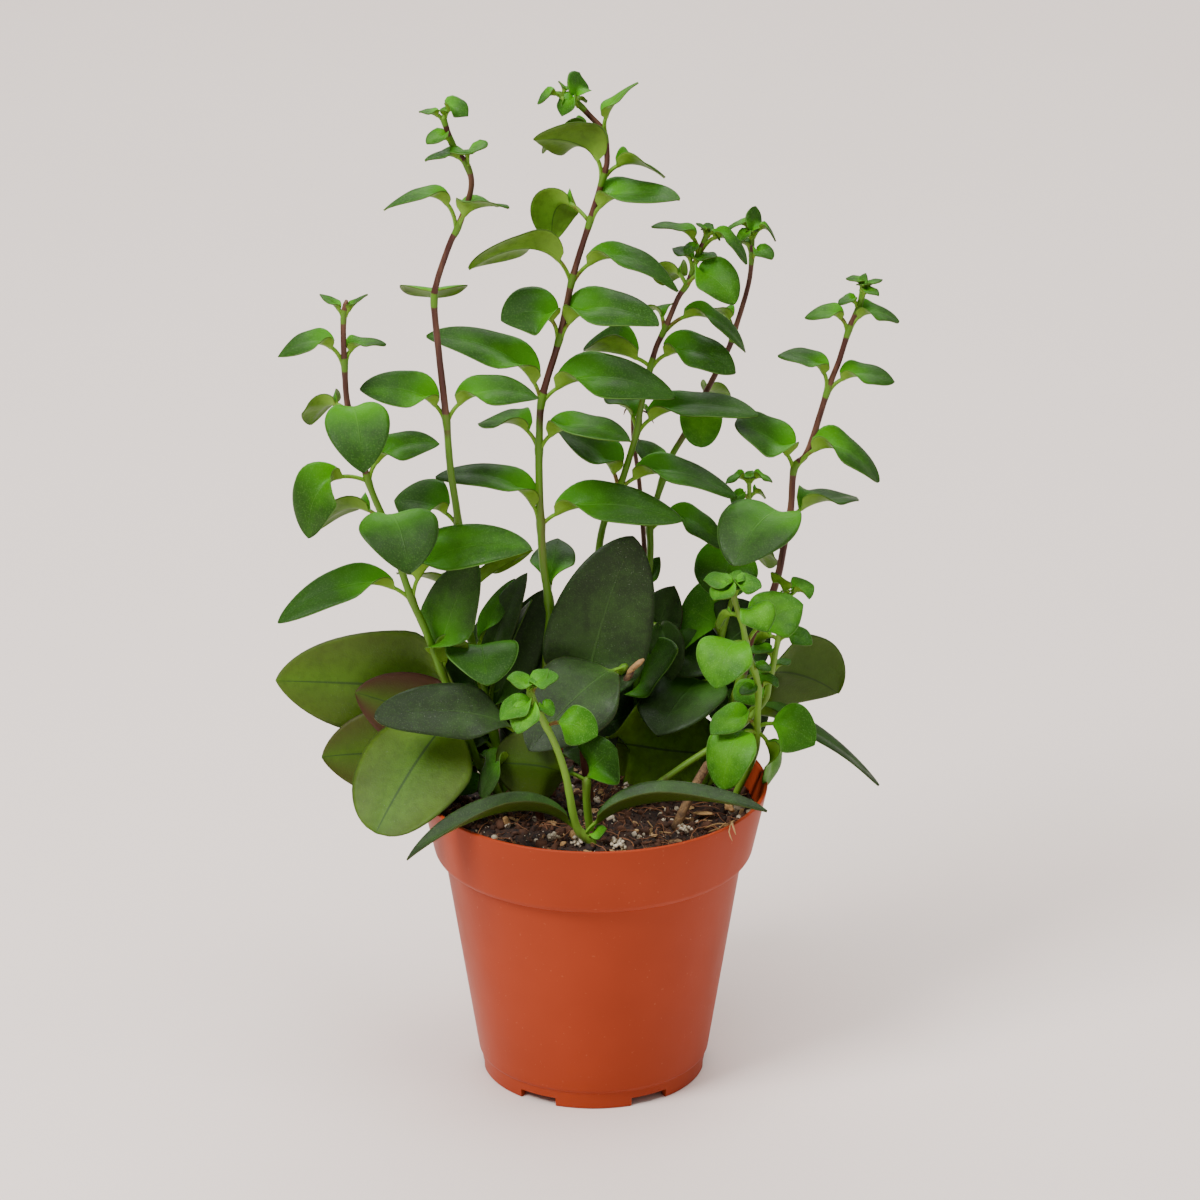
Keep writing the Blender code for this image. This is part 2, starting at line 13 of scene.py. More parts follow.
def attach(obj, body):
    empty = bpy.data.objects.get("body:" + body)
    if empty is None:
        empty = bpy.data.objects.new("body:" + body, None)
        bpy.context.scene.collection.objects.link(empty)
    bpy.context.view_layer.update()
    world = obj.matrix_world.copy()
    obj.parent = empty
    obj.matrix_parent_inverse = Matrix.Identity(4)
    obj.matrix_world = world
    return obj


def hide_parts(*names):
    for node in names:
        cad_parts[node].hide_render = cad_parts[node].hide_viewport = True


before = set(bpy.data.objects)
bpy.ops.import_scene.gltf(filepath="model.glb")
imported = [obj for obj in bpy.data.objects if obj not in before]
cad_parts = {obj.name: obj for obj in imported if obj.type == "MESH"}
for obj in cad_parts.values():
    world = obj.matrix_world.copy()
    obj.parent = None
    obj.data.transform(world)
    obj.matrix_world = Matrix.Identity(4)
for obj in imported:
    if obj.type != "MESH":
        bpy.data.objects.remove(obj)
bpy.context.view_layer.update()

MM = 0.001
UP = Vector((0, 0, 1))
FULL_TURN = 2 * math.pi


def by_name(groups):
    """Turns {value: "name name"} round, into {name: value}."""
    return {name: value for value, names in groups.items() for name in names.split()}


# --- the plant ---
# Each stem: its radius at the root and at the growing end, the height above which its bark is
# brown between the green nodes, and its route, root first.
ALL_GREEN = 400  # higher than any stem
STEMS = {
    "a": (1.35, 0.8, 190, (-27, 6, 73), (-28, 6, 84), (-34, 5, 96), (-38, 3, 106), (-45, 0, 128),
          (-50, -2, 143), (-54, -4, 154), (-61, -7, 178), (-66, -9, 193), (-71, -12, 215),
          (-72, -13, 230), (-72, -14, 244), (-71, -14, 250)),
    "b": (1.4, 0.8, 207, (-26, 13, 73), (-27, 13, 84), (-31, 12, 108), (-36, 9, 132), (-39, 5, 150),
          (-40, 1, 176), (-42, -2, 194), (-43, -5, 211), (-45, -8, 234), (-46, -8, 247),
          (-45, -8, 254), (-41, -9, 266), (-39, -9, 270), (-35, -10, 282), (-36, -10, 289),
          (-40, -10, 295), (-43, -10, 304)),
    "c": (1.5, 0.8, 205, (-12, 16, 73), (-12, 16, 84), (-14, 12, 110), (-14, 10, 131),
          (-13, 10, 144), (-15, 10, 160), (-16, 10, 182), (-16, 10, 199), (-15, 10, 212),
          (-10, 10, 230), (-6, 10, 249), (-1, 10, 266), (3, 10, 280), (4, 10, 285), (3, 10, 293),
          (-1, 10, 298), (-5, 10, 302), (-11, 10, 305)),
    "d": (1.5, 0.7, 215, (-2, 22, 73), (-2, 22, 84), (-1, 21, 120), (2, 20, 163), (8, 21, 180),
          (13, 22, 197), (14, 22, 204), (18, 23, 221), (21, 24, 228), (25, 24, 238), (28, 24, 243),
          (31, 24, 252), (34, 24, 259)),
    "e": (1.4, 0.7, 190, (9, 30, 73), (10, 30, 84), (14, 29, 120), (17, 29, 153), (17, 30, 164),
          (19, 31, 172), (23, 33, 184), (28, 34, 193), (34, 36, 205), (40, 37, 217), (42, 37, 223),
          (46, 38, 237), (47, 38, 246), (47, 38, 254)),
    "f": (1.4, 0.8, 120, (33, 16, 73), (33, 16, 84), (43, 16, 115), (50, 18, 135), (55, 20, 150),
          (57, 21, 160), (59, 22, 172), (60, 23, 185), (64, 24, 190), (70, 27, 209), (73, 28, 217),
          (76, 29, 227), (79, 30, 234), (80, 30, 240)),
    "g": (1.1, 0.6, ALL_GREEN, (28, 28, 73), (28, 28, 84), (36, 33, 115), (44, 38, 145),
          (46, 40, 160), (47, 40, 168), (47, 40, 176)),
    "h": (1.2, 0.8, ALL_GREEN, (42, 9, 73), (43, 9, 84), (47, 6, 95), (49, 3, 103), (49, 0, 111),
          (49, -4, 126), (46, -7, 137), (44, -10, 148), (42, -12, 155), (41, -12, 160)),
    "i": (1.35, 0.9, ALL_GREEN, (1, -27, 73), (0, -27, 84), (-5, -29, 91), (-8, -32, 108),
          (-11, -34, 119), (-16, -36, 131), (-19, -36, 138)),
    "j": (1.4, 1.1, 112, (-1, -18, 73), (-1, -18, 84), (-2, -20, 95), (-2, -20, 103)),
    "k": (1.1, 0.6, 110, (21, 36, 73), (21, 36, 84), (19, 38, 115), (16, 42, 145), (14, 44, 171),
          (12, 44, 187), (12, 44, 199)),
    "m": (1.2, 0.7, ALL_GREEN, (10, 1, 73), (11, 1, 84), (26, 5, 95), (42, 9, 105), (51, 9, 115),
          (53, 7, 124), (55, 5, 136), (57, 4, 147), (58, 3, 153)),
    "n": (1.3, 1.1, 60, (-16, -8, 73), (-16, -8, 84), (-19, -10, 98), (-21, -12, 114)),
    "o": (1.3, 1.1, 60, (-1, 5, 73), (-1, 5, 84), (-3, 5, 100), (-3, 5, 114), (3, 4, 122),
          (10, 2, 130)),
}

# Leaf pairs that are pieces of their own. For each stem, from the top down: the height of the
# stem's node, then one or two leaves. A leaf is its tip's offset from the node (right, back, up),
# its width, how far its spine bows above the straight line and, where they are not the usual
# ones, how far the blade is turned about its spine and how far its two halves are folded up.
LEAF_PAIRS = {
    "a": (
        (215, (5, -24, -10, 19, 8, 5, 20), (-12, 12, -8, 14, 4)),
        (193, (-17, -6, -16, 17, 9, -35), (21, 3, 10, 12, 5, 25)),
        (179, (8, -24, -7, 24, 8, 0, 15), (-21, 14, -8, 15, 6, 20)),
        (154, (-39, -8, -5, 14, 8, -25), (36, -10, 19, 17, 9, 35)),
        (129, (11, -4, 36, 20, 3, 70), (8, -3, 10, 12, 2, -80, 15)),
        (114, (-24, -27, -27, 35, 3, 165, 8)),
        (105, (-34, 4, 14, 24, 2, 100, 12)),
        (96, (-48, 2, 2, 31, 3, 100, 12), (6, -3, 4, 6, 2)),
    ),
    "b": (
        (270, (-21, -2, 6, 10, 8), (15, -9, 9, 15, 4, -20)),
        (248, (-1, 20, -6, 20, 3, 0, 15)),
        (210, (-25, -2, 10, 14, 5, -35), (27, 2, 6, 14, 6, 20)),
        (175, (-19, 4, 6, 18, 3, -30)),
        (150, (-20, 13, 3, 12, 3, 20), (21, 4, 14, 9, 2, -50)),
        (117, (-63, 3, 3, 35, 1, 92, 15), (13, 5, 37, 13, 3, 20)),
    ),
    "c": (
        (279, (-20, -4, 13, 18, 6, 50), (18, 4, -1, 14, 5, -10)),
        (266, (26, -8, 9, 15, 6, 10), (-11, 8, -9, 15, 9, 45)),
        (248, (-30, -2, 4, 17, 9, 40), (31, -4, -2, 13, 9, 10)),
        (230, (29, -12, 8, 17, 8, 20), (-17, -4, 7, 17, 6, -40)),
        (211, (39, -4, 2, 18, 7, 25), (-34, 2, 19, 15, 7, -25)),
        (196, (27, -14, 7, 15, 6, 5), (-18, 10, 4, 15, 5, -5)),
        (172, (-31, -4, 16, 14, 8, -15), (42, -6, 3, 18, 6, 20)),
        (147, (3, 16, 14, 14, 4)),
    ),
    "d": (
        (242, (14, -12, -2, 15, 6, 15), (-7, 9, -3, 12, 4, 20)),
        (228, (-4, 10, 3, 11, 4), (24, 0, -7, 11, 8, 10)),
        (217, (-20, 3, 4, 18, 2, 0, 65), (25, -6, 0, 16, 6, 20)),
        (197, (36, -6, 7, 14, 6, 15), (-8, 12, 9, 13, 3)),
        (179, (-18, 0, 18, 17, 4, -15), (35, -5, -1, 15, 7, 10)),
        (101, (46, -3, -7, 31, -3, -120, 12), (-8, 14, 16, 14, 2)),
    ),
    "e": (
        (201, (0, -14, -9, 13, 5), (7, 18, -8, 9, 5)),
        (163, (22, -4, -5, 13, 6, 15), (-12, 5, 1, 10, 4)),
    ),
    "f": (
        (208, (-15, 0, 11, 11, 5, -10), (20, 2, 2, 12, 4, 15)),
        (185, (-18, -4, 15, 19, 3, -25), (25, -2, -4, 16, 9, 10)),
        (169, (-17, -26, -5, 24, 7, -10, 18), (21, 16, 1, 16, 3)),
        (119, (30, 12, -9, 31, 5, -66, 25)),
        (108, (4, 16, 2, 10, 2), (46, -3, -22, 12, 7)),
    ),
    "g": (
        (149, (-6, -14, -7, 21, 6), (9, 10, -6, 12, 4)),
        (112, (-16, -26, -7, 30, 4, 5, 20)),
    ),
    "h": (
        (141, (-9, -13, -9, 18, 6, -10, 20), (17, 7, 9, 17, 3, 40, 25)),
        (111, (-14, -9, 1, 11, 4, -20), (17, -1, -6, 16, 3, 55, 15)),
        (109, (-10, -14, -13, 17, 8, 0, 6), (3, 0, -18, 12, 3, 40)),
    ),
    "i": (
        (88, (-52, -14, -2, 12, 12, 0, 55), (54, -6, 10, 13, 8, 0, 55)),
    ),
    "n": (
        (112, (-44, -8, 10, 18, 6, -45, 15)),
        (107, (-13, -6, -12, 12, 4)),
    ),
    "o": (
        (112, (15, 5, 56, 32, 3, 75, 20)),
    ),
}

# Smaller leaves, which are one piece with their stem. Most of them are at the growing ends, and
# the rest fill the plant's dark middle.
SMALL_LEAVES = {
    "a": ((245, (-7, 2, 6, 5, 1), (7, -1, 7, 5, 1)),
          (230, (-19, -2, 3, 12, 6, -10), (12, 3, 5, 9, 4)), (89, (-11, -5, -1, 8, 3, -20))),
    "b": ((303, (-7, 0, 2, 5, 1), (7, -1, 1, 9, 3, 20), (-1, -2, 3, 3, 1), (1, 2, 3, 3, 1)),
          (296, (-7, -5, 1, 8, 2)), (289, (2, -7, 6, 12, 3, 10), (-12, -2, 2, 7, 3)),
          (130, (12, 12, 20, 7, 2, 20)), (117, (4, 10, 25, 14, 2)), (104, (17, 4, 45, 16, 3, 60)),
          (112, (1, 14, 28, 14, 2, 60, 12)), (110, (13, 0, 37, 9, 3, 10, 25)),
          (97, (-20, 6, 10, 24, 2, -80, 10)), (112, (-12, 6, 17, 18, 2, -80, 10)),
          (92, (-13, 4, 4, 17, 2, -80, 10)), (128, (4, -24, 2, 22, 8, 0, 15))),
    "c": ((304, (-7, -2, -2, 6, 2), (-1, 1, 4, 4, 1, 30), (1, -2, -4, 3, 1)),
          (302, (1, 3, 8, 10, 2, 60)), (301, (-5, -4, -2, 8, 3)), (302, (3, 3, -1, 3, 1)),
          (293, (10, 3, 14, 8, 3, -10)), (292, (-18, 9, -8, 10, 5)),
          (108, (16, 10, 8, 22, 2, 80, 10)), (98, (-16, 8, 8, 24, 2, -80, 10)),
          (112, (-12, 6, 16, 22, 2, -75, 10)), (92, (-12, 4, 5, 14, 2, -80, 10)),
          (104, (-16, 6, 2, 18, 2, -80, 10)), (92, (20, 4, 8, 20, 2, 80, 10))),
    "d": ((257, (-3, 0, 4, 4, 1), (4, -1, -1, 3, 2), (0, -2, 3, 3, 1), (2, 2, 3, 4, 1, 30)),
          (252, (-14, 0, 8, 8, 4), (14, -2, -3, 8, 7, 10), (-4, -5, 1, 5, 2)),
          (247, (7, -4, 5, 6, 2, 10), (-6, 4, 5, 6, 2, -10)), (98, (22, 10, 6, 24, 2, 80, 10))),
    "e": ((252, (-8, 0, 2, 5, 4), (1, 3, 9, 7, 1, 60), (7, 0, -1, 5, 4), (0, -3, 3, 4, 1),
                (-4, -4, 0, 5, 2)),
          (246, (6, -5, 1, 8, 2), (-6, 4, 3, 7, 3)), (104, (13, -10, 24, 19, 4, 50, 25)),
          (222, (-11, 5, 5, 10, 5, 20)), (178, (-9, 4, 11, 10, 2, -10), (8, 6, -3, 5, 2)),
          (141, (4, 3, 12, 6, 2, 30))),
    "f": ((238, (-5, 0, 4, 6, 2), (6, 2, 3, 4, 1)), (236, (5, -4, 2, 5, 2)),
          (238, (0, -3, 3, 4, 1), (1, 2, 5, 3, 1, 20)), (233, (-6, -3, 2, 6, 2)),
          (226, (-13, 0, 4, 9, 4, -10), (15, 2, 2, 11, 5, 10))),
    "g": ((174, (-7, -1, 0, 6, 2), (7, 0, 0, 6, 2), (0, -2, 2, 4, 1), (1, 2, 3, 4, 1)),
          (169, (-5, -4, -1, 6, 2), (5, 2, -1, 6, 2)), (164, (4, -5, -1, 7, 2), (-5, 3, 0, 7, 2)),
          (126, (-12, 4, 8, 28, 2, -70, 10)), (100, (22, 0, 10, 30, 2, 80, 10)),
          (118, (16, 4, 14, 24, 2, 70, 10)), (107, (-14, 4, 8, 30, 2, -80, 10))),
    "h": ((158, (-9, -1, 5, 8, 2, -20), (-6, -7, 1, 9, 2), (8, -2, 3, 9, 2, 20)),
          (159, (2, 4, 5, 6, 1), (-2, 2, 4, 4, 1), (2, -3, 2, 5, 1), (0, 0, 4, 3, 1)),
          (151, (8, -8, -2, 12, 4, 20, 25), (-6, 4, -6, 7, 2)), (132, (5, -5, 1, 5, 1)),
          (124, (-5, -6, 1, 6, 1), (6, 4, 2, 8, 1, 20))),
    "i": ((136, (-7, -2, 6, 8, 2, -20), (8, -1, 6, 9, 2, 20), (5, 3, 7, 7, 1)),
          (137, (-1, -2, 3, 4, 1), (1, 1, 4, 4, 1)),
          (131, (-11, -7, 0, 10, 3, -10), (-6, -10, -3, 10, 3), (4, -4, 0, 6, 2)),
          (126, (15, -1, -3, 12, 2, 70, 12)), (87, (6, -3, 4, 5, 0, 40, 5))),
    "j": ((101, (9, 0, 11, 18, 2, 60, 12)), (102, (-27, 6, 3, 23, 2, 100, 10))),
    "k": ((197, (5, -1, -4, 3, 2)), (195, (-4, 1, 2, 3, 1)), (128, (6, -16, -12, 12, 6, 40)),
          (120, (6, 0, 21, 14, 1, 60, 15)), (116, (18, -16, 4, 17, 4, 40)),
          (104, (-18, 2, 12, 26, 2, -75, 10)), (112, (20, -3, 10, 30, 2, 80, 10))),
    "m": ((151, (-5, 0, 8, 7, 1, 40), (8, 4, 2, 9, 1, 30), (0, -2, 3, 4, 1)),
          (137, (10, -4, 0, 8, 2, 20), (-6, 5, -5, 8, 2)), (130, (-7, -4, 4, 8, 2)),
          (125, (-6, -6, 2, 7, 2), (6, 4, 3, 6, 1)), (117, (-9, -8, 2, 10, 2, -30))),
    "o": ((129, (-28, -24, -17, 27, 4, -30, 20)),),
}

# Leaves that differ from the rest, named by stem and number: pairs count from 1, with 0 or 1
# behind for one leaf of a pair, and small leaves count from 0.
# How round the base is and how pointed the tip.
OUTLINES = by_name({
    (0.5, 0.6): "n1", (0.6, 0.8): "a3", (0.7, 0.8): "a1 o0small", (0.8, 0.5): "a6",
    (0.8, 0.6): "f2", (0.8, 0.95): "k3small", (0.9, 0.6): "h3", (0.9, 0.7): "o1",
    (0.9, 0.75): "j0small", (0.9, 0.9): "g2 h2", (1.0, 0.45): "j1small", (1.0, 0.5): "e1 n2",
    (1.0, 0.6): "g1", (1.0, 0.65): "f3", (1.0, 0.7): "b15small", (1.3, 0.6): "g9small",
})
# Youth, redness and dust, whose pale specks are also painted highlight. Some looks are painted
# light: e1, d6 and g8small are made young and bright for light that shines through or falls on
# them, and f4 is made old and dark for the shade it lies in.
LOOKS = by_name({
    (0.0, 0.0, 1.0): "o1", (0.0, 0.1, 0.9): "n1",
    (0.0, 0.2, 0.3): "b12small b14small c11small c12small", (0.0, 0.3, 0.9): "o0small",
    (0.0, 0.6, 0.2): "k3small", (0.03, 0.2, 0.3): "d9small k5small",
    (0.05, 0.2, 0.3): "b13small c13small c9small g11small j1small", (0.05, 0.2, 0.5): "k2small",
    (0.05, 0.3, 0.4): "i1", (0.1, 0.1, 0.2): "f4", (0.1, 0.1, 0.3): "f5",
    (0.1, 0.2, 0.3): "b61 b9small c10small c8small g10small g9small", (0.1, 0.9, 0.2): "a7",
    (0.12, 0.1, 0.4): "k6small", (0.12, 0.1, 0.5): "g2", (0.12, 0.2, 0.3): "b10small",
    (0.13, 0.5, 0.2): "a8", (0.15, 0.1, 0.5): "b11small", (0.15, 0.2, 0.3): "b8small k4small",
    (0.15, 0.3, 0.3): "b60", (0.17, 0.25, 0.6): "a6", (0.2, 0.1, 0.2): "n2", (0.2, 0.1, 0.3): "f3",
    (0.22, 0.1, 0.2): "a5", (0.22, 0.1, 0.3): "a3", (0.26, 0.1, 0.15): "a1",
    (0.4, 0.0, 1.0): "e7small", (0.45, 0.0, 0.6): "b15small", (0.5, 0.0, 0.4): "j0small",
    (0.5, 0.1, 0.3): "g1", (0.9, 0.0, 1.0): "g8small", (1.0, 0.0, 0.1): "e1",
    (1.0, 0.0, 0.9): "i0small i1small i5small i6small", (1.0, 0.2, 0.3): "d6",
})
STEM_YOUTH = {"g": 0.85, "h": 0.75, "i": 1.0, "j": 0.7, "m": 0.75, "n": 0.0, "o": 0.0}
USUAL_YOUTH = 0.35
USUAL_REDNESS = 0.15
USUAL_DUST = 0.12
AGEING_HEIGHT = 200  # above this height, leaves are younger the higher they are
AGEING_SPAN = 400  # climb that adds a youth of 1

# --- how leaves and stems are made ---
STALK_LENGTH = 6.0  # from the node to where the leaf is flat
STALK_SHARE_MOST = 0.3  # a small leaf's takes no more than this share of the leaf's length
ROUND_SHARE = 0.8  # share of it that is round
STALK_RADIUS = 0.62
STALK_START = 0.6  # where a stalk starts, as a share of the stem's radius
SPINE_HANDLES = ((0.19, 1.45), (0.67, 1.1))  # share of the chord, and of the bow
TIP_HALF_WIDTH = 0.2
WIDEST = 0.42  # share of the blade's length at which it is widest
MIDRIB_THICKNESS = 0.95
EDGE_THICKNESS = 0.34
TIP_THICKNESS = 0.6  # of the midrib at the tip, as a share of that at the base
RIDGE_HEIGHT = 0.22  # how far the midrib stands out of the underside
GROOVE_DEPTH = 0.12  # how far it is sunk into the upper side
RIDGE_REACH = 0.06  # half its width, as a share of the blade's half width
FUNNEL_FOLD = 78.0  # fold of a blade right at its stalk
USUAL_FOLD = 30.0  # fold in the widest part
TIP_FOLD = 8.0
TIP_OPENS = 30.0  # most by which the fold gets less towards the tip
STEEP_FOLD = 45.0  # a blade folded this much or more is steep
BLADE_CURL = 44.0  # how much of the fold the blade loses on the way to its edge
CURL_PER_FOLD = 1.6  # the most it loses for each degree of fold
STEEP_CURL = 10.0  # the same on a steeply folded blade
FUNNEL_START = 0.06  # share of the blade at which the funnel begins to open
FUNNEL_SHARE = 0.40  # share of the blade over which it opens
TIP_START = 0.45  # share of the blade at which the fold starts to change to the tip's
TIP_HASTE = 1.8  # how fast it changes
LEAFY_SHARE = 0.06  # share of the blade over which the round stalk becomes flat
TURN_SHARE = 0.35  # share of the leaf over which the blade turns
TURNED_OVER = 120  # a blade turned further than this turns in its stalk
# How round the base of a blade is, from 0, a wedge, to 1, and how pointed its tip is: a half
# ellipse at 0.5.
USUAL_OUTLINE = (0.8, 0.75)
YOUNG_OUTLINE = (0.95, 0.8)
YOUNG = 0.6  # youth above which a leaf has the young outline
CREASE_REACH = 0.09  # share of the half width over which the midrib's crease is rounded
EDGE_WAVE = 0.35  # height of the edge's waves on a leaf of the usual width
WAVE_WIDTH = 20  # the usual width
WAVE_PACE = 9  # how fast the waves follow one another
FINE = (26, 8)  # rows along the blade and columns across each half
COARSE = (12, 5)
SMALL_LEAF = 13.0  # a leaf shorter than this is coarse
STALK_ROWS = 5
STEM_SPACING = 1.2
STEM_SIDES = 14
NODE_SWELLING = 0.24  # share by which a stem is thicker at a node
NODE_REACH = 2.4  # how far from the node that shows
BROWN_SPAN = 30.0  # height over which the bark turns brown
FAR = 99.0  # distance to a node where there is none
BARK_UNEVENNESS = 0.05

# --- the pot and the soil ---
POT_HEIGHT = 93.0
RIM_RADIUS = 52.5
BAND_RADIUS = 47.8
BAND_BOTTOM = 71.5
BODY_RADIUS = 45.1
FOOT_RIDGE_RADIUS = 35.0
FOOT_RIDGE_HEIGHT = 6.3
FOOT_RADIUS = 33.8
FOOT_RING_WIDTH = 2.2
POT_WALL = 1.3
POT_ROUNDING = 0.6
POT_EDGE_ANGLE = 40  # edges sharper than this are not smoothed
FLOOR_UNDERSIDE = 3.4
POT_STEPS = 180
NOTCH_COUNT = 6
NOTCH_WIDTH = 12.0
NOTCH_HEIGHT = 2.8
DRAIN_RADIUS = 3.5
DRAIN_RING_RADIUS = 20.0
SOIL_EDGE_RADIUS = 49.0
SOIL_HEIGHT = 84.0
SOIL_DROOP = 0.8  # how much lower it is at the edge
LUMP_HEIGHT = 1.1
FINE_LUMP_HEIGHT = 0.5
SOIL_DEPTH = 76.0  # underside of the visible layer of soil
SOIL_FOOT_RADIUS = 47.0
SOIL_ROWS = 64
SOIL_STEPS = 160
CRUMB_COUNT = 1900
CRUMB_SIZES = (0.35, 1.3)  # the smallest, and by how much the largest is larger
PERLITE_COUNT = 520
PERLITE_SIZES = (0.18, 0.9)
HEAP_COUNT = 26  # grains in each heap
HEAP_SPREAD = 1.1
CHIP_COUNT = 110
CHIP_CORNERS = 9
FIBRE_COUNT = 230
FIBRE_STEPS = 9
FIBRE_CLEARANCE = 0.15
LITTER_SIDES = 9
LITTER_SPACING = 1.5

# Middle of each crumbly heap of perlite, right and back, and the single grains that stand out,
# with their radius.
PERLITE_HEAPS = ((-15, 6), (7, -29), (27, -18), (-12, -24), (-4, -27))
PERLITE_GRAINS = ((1, 4, 1.2), (-4, -3, 1.1), (5, -9, 1.4), (-25, 4, 0.9), (-20, 3, 0.8),
                  (22, -3, 0.8), (25, -3, 0.9), (20, -5, 0.8), (42, -2, 1.4), (44, 1, 1.6),
                  (37, 5, 1.0), (6, 12, 1.2), (1, 12, 1.0), (-26, -14, 1.1), (15, 6, 1.9),
                  (31, -10, 0.8), (-17, -24, 0.7))

# Single pieces of litter, each a path, its radius, and its tone from dark to light: a snapped
# woody stalk, the withered end of a cut stem, a rootlet with a bead, fibres that hang over the
# rim, and a few dry threads in the leaves behind.
LITTER = (
    (((24, -15, 83), (27, -12, 89), (31, -8, 96), (35, -5, 102)), 1.4, 0.2),
    (((8, 2, 122), (10, 1, 126), (12, 0, 129)), 1.0, 0.1),
    (((10, 1, 127), (12, 0, 130), (15, -1, 133)), 0.9, 0.5),
    (((-34, 12, 134), (-34, 12, 128), (-34, 12, 123)), 0.2, 0.9),
    (((-34, 12, 123), (-33, 12, 121), (-35, 12, 120)), 0.8, 0.6),
    (((33, -17, 85), (37, -18, 87), (41, -21, 88), (44, -24, 90), (45, -26, 93)), 0.25, 0.9),
    (((38, -20, 87), (40, -24, 89), (41, -30, 93), (41, -34, 94), (42, -35, 91)), 0.3, 0.9),
    (((40, -20, 87), (42, -26, 91), (41, -32, 94), (40, -35, 92), (41, -35, 89)), 0.2, 0.8),
    (((34, -22, 86), (37, -24, 88), (37, -29, 90), (39, -33, 94)), 0.25, 0.8),
    (((12, 29, 202), (13, 26, 199), (12, 25, 196), (14, 24, 193)), 0.3, 0.1),
    (((14, 29, 201), (16, 27, 201), (18, 26, 198)), 0.3, 0.1),
    (((13, 29, 202), (10, 26, 203), (9, 25, 201)), 0.25, 0.1),
)
# Middle, half sizes and tone of its flakes.
FLAKES = (
    ((33, -8, 86), (3, 1.4, 0.4), 1.0), ((-6, -24, 86), (1.6, 1.2, 0.8), 0.9),
    ((-9, -28, 85), (1.3, 1, 0.6), 1.0), ((-26, -14, 86), (1.8, 1.2, 0.6), 0.9),
    ((-4, 8, 103), (1.6, 1, 0.8), 0.5), ((41, -4, 86), (1.6, 1.1, 0.9), 0.9),
)

# --- camera and lights ---
CAMERA_PLACE = (1.95, -1500, 744)
CAMERA_TILT = 21.55  # how far it looks down
CAMERA_LENS = 162.96
FLOOR_SIZE = 12.0  # in metres
WORLD_COLOUR = (1.0, 0.98, 0.96, 1)
WORLD_STRENGTH = 0.45
PLANT_MIDDLE = (0, 0, 0.15)
# Name, place, size, power and target of each light, in metres and watts.
LIGHTS = (
    ("key", (-1.0, -0.85, 1.5), 0.7, 42, PLANT_MIDDLE),
    ("fill", (1.3, -0.9, 0.8), 1.2, 0.8, PLANT_MIDDLE),
    ("back", (0, 1.4, 1.5), 1.6, 26, (0, 1.3, 0)),
    ("top", (0.2, -0.2, 1.6), 1.0, 19, PLANT_MIDDLE),
)


# --- meshes ---

LEAF_TOP = 0
LEAF_UNDER = 1
BARK = 2


def new_object(name, data):
    thing = bpy.data.objects.new(name, data)
    bpy.context.scene.collection.objects.link(thing)
    return thing


def new_piece(name, points, faces, looks, materials, smooth=True):
    """An object with a look at each of its points."""
    mesh = bpy.data.meshes.new(name)
    mesh.from_pydata(points, [], faces)
    mesh.polygons.foreach_set("use_smooth", [smooth] * len(faces))
    colours = mesh.color_attributes.new("look", "FLOAT_COLOR", "POINT")
    for spot, look in zip(colours.data, looks):
        spot.color = look
    for material in materials:
        mesh.materials.append(material)
    return new_object(name, mesh)


def quads(ring, following):
    """Faces between two rings of point numbers."""
    for i in range(len(ring)):
        j = (i + 1) % len(ring)
        yield ring[i], ring[j], following[j], following[i]


class Shape:
    """Points and faces of one piece, gathered before they become a mesh.

    A place is (across, along). A look is (youth, redness, dust and painted sheen, shade), and on
    bark the last of them is how brown it is.
    """

    def __init__(self):
        self.points = []
        self.places = []
        self.looks = []
        self.faces = []
        self.slots = []

    def point(self, where, place=(0, 0), look=(0, 0, 0, 0)):
        self.points.append(where * MM)
        self.places.append(place)
        self.looks.append(look)
        return len(self.points) - 1

    def face(self, corners, slot):
        self.faces.append(corners)
        self.slots.append(slot)

    def loft(self, rings, slot):
        for ring, following in zip(rings, rings[1:]):
            for corners in quads(ring, following):
                self.face(corners, slot)

    def build(self, name, materials):
        thing = new_piece(name, self.points, self.faces, self.looks, materials)
        thing.data.polygons.foreach_set("material_index", self.slots)
        spread = thing.data.uv_layers.new(name="place")
        for loop in thing.data.loops:
            spread.data[loop.index].uv = self.places[loop.vertex_index]
        return thing


def place(piece, slot, *nodes):
    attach(piece, "root")
    if nodes:
        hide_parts(*nodes)


def blend(low, high, share):
    share = min(max(share, 0.0), 1.0)
    return low + (high - low) * share


def ease(share):
    share = min(max(share, 0.0), 1.0)
    return share * share * (3 - 2 * share)


def circle(sides):
    """Evenly spaced angles."""
    return [FULL_TURN * corner / sides for corner in range(sides)]


def heading_at(angle):
    return Vector((math.cos(angle), math.sin(angle), 0))


# --- stems ---

def smooth_route(points, spacing):
    """A Catmull-Rom curve through the points."""
    route = [Vector(point) for point in points]
    ends = [route[0] * 2 - route[1]] + route + [route[-1] * 2 - route[-2]]
    samples = []
    for i in range(1, len(ends) - 2):
        before, start, end, after = ends[i - 1:i + 3]
        count = max(1, round((end - start).length / spacing))
        for step in range(count):
            t = step / count
            samples.append(0.5 * (2 * start + (end - before) * t
                                  + (2 * before - 5 * start + 4 * end - after) * t ** 2
                                  + (3 * start - before - 3 * end + after) * t ** 3))
    samples.append(route[-1])
    return samples


def across_path(path, aside):
    """Each point of a path, with two directions across it."""
    for index, centre in enumerate(path):
        ahead = path[min(index + 1, len(path) - 1)]
        behind = path[max(index - 1, 0)]
        along = (ahead - behind).normalized()
        side = along.cross(Vector(aside)).normalized()
        yield centre, side, along.cross(side)


def radius_at(stem, height):
    root_radius, end_radius, _, *route = STEMS[stem]
    low, high = route[0][2], route[-1][2]
    return blend(root_radius, end_radius, (height - low) / (high - low))


